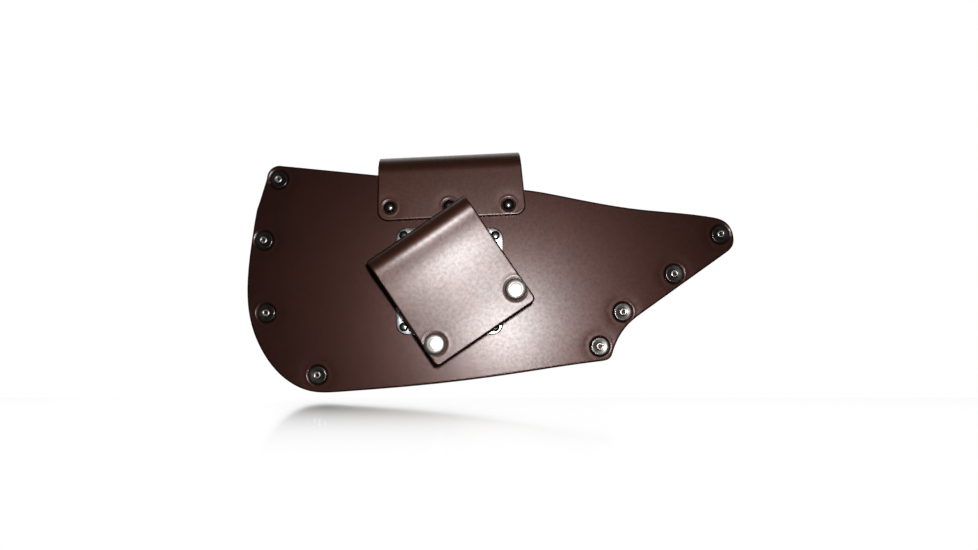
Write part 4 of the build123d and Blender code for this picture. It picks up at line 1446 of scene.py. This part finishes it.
# ---------------------------------------------------------------- stage
def floor_material():
    """Pale gloss floor whose reflection dies away in front of the sheath."""
    material = bpy.data.materials.new("stage_floor")
    material.use_nodes = True
    tree = material.node_tree
    nodes, links = tree.nodes, tree.links
    nodes.clear()

    place = nodes.new("ShaderNodeTexCoord")
    place.label = "Place on the floor"

    split = nodes.new("ShaderNodeSeparateXYZ")
    split.label = "Distance in front"

    fade = nodes.new("ShaderNodeMapRange")
    fade.label = "Polish dies away"
    fade.interpolation_type = "SMOOTHSTEP"
    fade.inputs["From Min"].default_value = -0.50
    fade.inputs["From Max"].default_value = -0.20
    fade.inputs["To Min"].default_value = 0.0
    fade.inputs["To Max"].default_value = 0.95

    behind = nodes.new("ShaderNodeMapRange")
    behind.label = "No polish behind the sheath"
    behind.interpolation_type = "SMOOTHSTEP"
    behind.inputs["From Min"].default_value = 0.03
    behind.inputs["From Max"].default_value = 0.12
    behind.inputs["To Min"].default_value = 1.0
    behind.inputs["To Max"].default_value = 0.0

    grazing = nodes.new("ShaderNodeFresnel")
    grazing.label = "Polish shows at a low angle"
    grazing.inputs["IOR"].default_value = 1.2

    patch = nodes.new("ShaderNodeMath")
    patch.label = "Polished patch"
    patch.operation = "MULTIPLY"

    polish_share = nodes.new("ShaderNodeMath")
    polish_share.label = "Polish seen"
    polish_share.operation = "MULTIPLY"

    ray = nodes.new("ShaderNodeLightPath")
    ray.label = "Seen directly or not"

    glow = nodes.new("ShaderNodeMapRange")
    glow.label = "Pale to the eye, dim to the sheath"
    glow.inputs["To Min"].default_value = bpy.context.scene.sheath_stage.room
    glow.inputs["To Max"].default_value = 1.0

    white = nodes.new("ShaderNodeEmission")
    white.label = "Even pale floor"

    polish = nodes.new("ShaderNodeBsdfGlossy")
    polish.label = "Polish"
    polish.inputs["Color"].default_value = (1, 1, 1, 1)
    polish.inputs["Roughness"].default_value = 0.06

    blend = nodes.new("ShaderNodeMixShader")
    blend.label = "Floor and reflection"

    output = nodes.new("ShaderNodeOutputMaterial")
    output.label = "Surface"

    links.new(place.outputs["Object"], split.inputs["Vector"])
    links.new(split.outputs["Y"], fade.inputs["Value"])
    links.new(split.outputs["Y"], behind.inputs["Value"])
    links.new(fade.outputs["Result"], patch.inputs[0])
    links.new(behind.outputs["Result"], patch.inputs[1])
    links.new(patch.outputs[0], polish_share.inputs[0])
    links.new(grazing.outputs["Fac"], polish_share.inputs[1])
    links.new(polish_share.outputs[0], blend.inputs["Fac"])
    links.new(ray.outputs["Is Camera Ray"], glow.inputs["Value"])
    links.new(glow.outputs["Result"], white.inputs["Strength"])
    links.new(white.outputs["Emission"], blend.inputs[1])
    links.new(polish.outputs["BSDF"], blend.inputs[2])
    links.new(blend.outputs["Shader"], output.inputs["Surface"])
    spread(tree)
    return material


def soft_light(name, size, power, place, target):
    """Square area light aimed at a point."""
    data = bpy.data.lights.new(name, "AREA")
    data.size, data.energy = size, power
    light = bpy.data.objects.new(name, data)
    light.location = place
    light.rotation_euler = (Vector(target) - Vector(place)).to_track_quat("-Z", "Y").to_euler()
    light.visible_camera = False
    bpy.context.scene.collection.objects.link(light)


class SHEATH_OT_stage(bpy.types.Operator):
    """Set up the camera, the pale floor and the soft lights."""

    bl_idname = "sheath.stage"
    bl_label = "Stage"

    def execute(self, context):
        stage = context.scene.sheath_stage
        scene = context.scene
        scene.view_settings.view_transform = "Standard"

        camera_data = bpy.data.cameras.new("camera")
        camera = bpy.data.objects.new("camera", camera_data)
        camera_data.sensor_width = 36
        camera_data.lens = 36 * stage.distance / stage.view_width
        camera_data.shift_x = (stage.aim_x - stage.eye_x) / stage.view_width
        camera_data.shift_y = (stage.aim_z - stage.eye_z) / stage.view_width
        camera.location = (stage.eye_x, back_low.y - stage.distance, stage.eye_z)
        camera.rotation_euler = (radians(90), 0, 0)
        scene.collection.objects.link(camera)
        scene.camera = camera

        floor_level = back_low.z - stage.floor_gap
        mesh = bpy.data.meshes.new("floor")
        reach = 6.0  # metres
        corners = [(-reach, -reach, 0), (reach, -reach, 0), (reach, reach, 0), (-reach, reach, 0)]
        mesh.from_pydata(corners, [], [(0, 1, 2, 3)])
        floor = bpy.data.objects.new("floor", mesh)
        floor.location = (0, 0, floor_level)
        scene.collection.objects.link(floor)
        mesh.materials.append(floor_material())

        key_place, key_size = (58 * MM, -0.55, 6 * MM), 45 * MM
        rear_place, rear_size = (-0.5, 1.0, 0.35), 0.5
        middle = 20 * MM
        soft_light("key_light", key_size, stage.key_power, key_place, (middle, back_low.y, 0))
        soft_light("rear_light", rear_size, stage.rear_power, rear_place, (middle, front_high.y, 0))

        world = bpy.data.worlds.new("studio")
        scene.world = world
        world.use_nodes = True
        nodes, links = world.node_tree.nodes, world.node_tree.links
        nodes.clear()
        way = nodes.new("ShaderNodeTexCoord")
        way.label = "Direction in the room"
        split = nodes.new("ShaderNodeSeparateXYZ")
        split.label = "In front or behind"
        behind = nodes.new("ShaderNodeMapRange")
        behind.label = "Pale backdrop behind, dim room in front"
        behind.interpolation_type = "SMOOTHSTEP"
        behind.inputs["From Min"].default_value = -0.05
        behind.inputs["From Max"].default_value = 0.35
        behind.inputs["To Min"].default_value = stage.room
        behind.inputs["To Max"].default_value = 1.0
        room = nodes.new("ShaderNodeBackground")
        room.label = "Room"
        room.inputs["Color"].default_value = (1, 1, 1, 1)
        pale = nodes.new("ShaderNodeBackground")
        pale.label = "Pale backdrop for the eye"
        pale.inputs["Color"].default_value = (1, 1, 1, 1)
        ray = nodes.new("ShaderNodeLightPath")
        ray.label = "Seen directly or not"
        mix = nodes.new("ShaderNodeMixShader")
        mix.label = "Backdrop for the eye, room for the lights"
        output = nodes.new("ShaderNodeOutputWorld")
        output.label = "World"
        links.new(way.outputs["Generated"], split.inputs["Vector"])
        links.new(split.outputs["Y"], behind.inputs["Value"])
        links.new(behind.outputs["Result"], room.inputs["Strength"])
        links.new(ray.outputs["Is Camera Ray"], mix.inputs["Fac"])
        links.new(room.outputs["Background"], mix.inputs[1])
        links.new(pale.outputs["Background"], mix.inputs[2])
        links.new(mix.outputs["Shader"], output.inputs["Surface"])
        spread(world.node_tree)
        return {"FINISHED"}


# ---------------------------------------------------------------- panel and registration
class SHEATH_PT_sheath(bpy.types.Panel):
    """Buttons that build the sheath."""

    bl_label = "Axe Sheath"
    bl_idname = "SHEATH_PT_sheath"
    bl_space_type = "VIEW_3D"
    bl_region_type = "UI"
    bl_category = "Sheath"

    def draw(self, context):
        for operator in OPERATORS:
            self.layout.operator(operator.bl_idname)


OPERATORS = (
    SHEATH_OT_stage,
    SHEATH_OT_panels,
    SHEATH_OT_welts,
    SHEATH_OT_flap,
    SHEATH_OT_loop,
    SHEATH_OT_edge_rivets,
    SHEATH_OT_flap_rivets,
    SHEATH_OT_turntable,
    SHEATH_OT_snaps,
)
SETTINGS = {
    "sheath_leather": SheathLeather,
    "sheath_pouch": SheathPouch,
    "sheath_flap": SheathFlap,
    "sheath_loop": SheathLoop,
    "sheath_metal": SheathMetal,
    "sheath_stage": SheathStage,
}


def register():
    for group in SETTINGS.values():
        bpy.utils.register_class(group)
    for operator in OPERATORS:
        bpy.utils.register_class(operator)
    bpy.utils.register_class(SHEATH_PT_sheath)
    for name, group in SETTINGS.items():
        setattr(bpy.types.Scene, name, bpy.props.PointerProperty(type=group))


def unregister():
    for name in SETTINGS:
        delattr(bpy.types.Scene, name)
    bpy.utils.unregister_class(SHEATH_PT_sheath)
    for operator in reversed(OPERATORS):
        bpy.utils.unregister_class(operator)
    for group in reversed(list(SETTINGS.values())):
        bpy.utils.unregister_class(group)


def main():
    register()
    bpy.ops.sheath.stage()
    bpy.ops.sheath.panels()
    bpy.ops.sheath.welts()
    bpy.ops.sheath.flap()
    bpy.ops.sheath.loop()
    bpy.ops.sheath.edge_rivets()
    bpy.ops.sheath.flap_rivets()
    bpy.ops.sheath.turntable()
    bpy.ops.sheath.snaps()


if __name__ == "__main__":
    main()
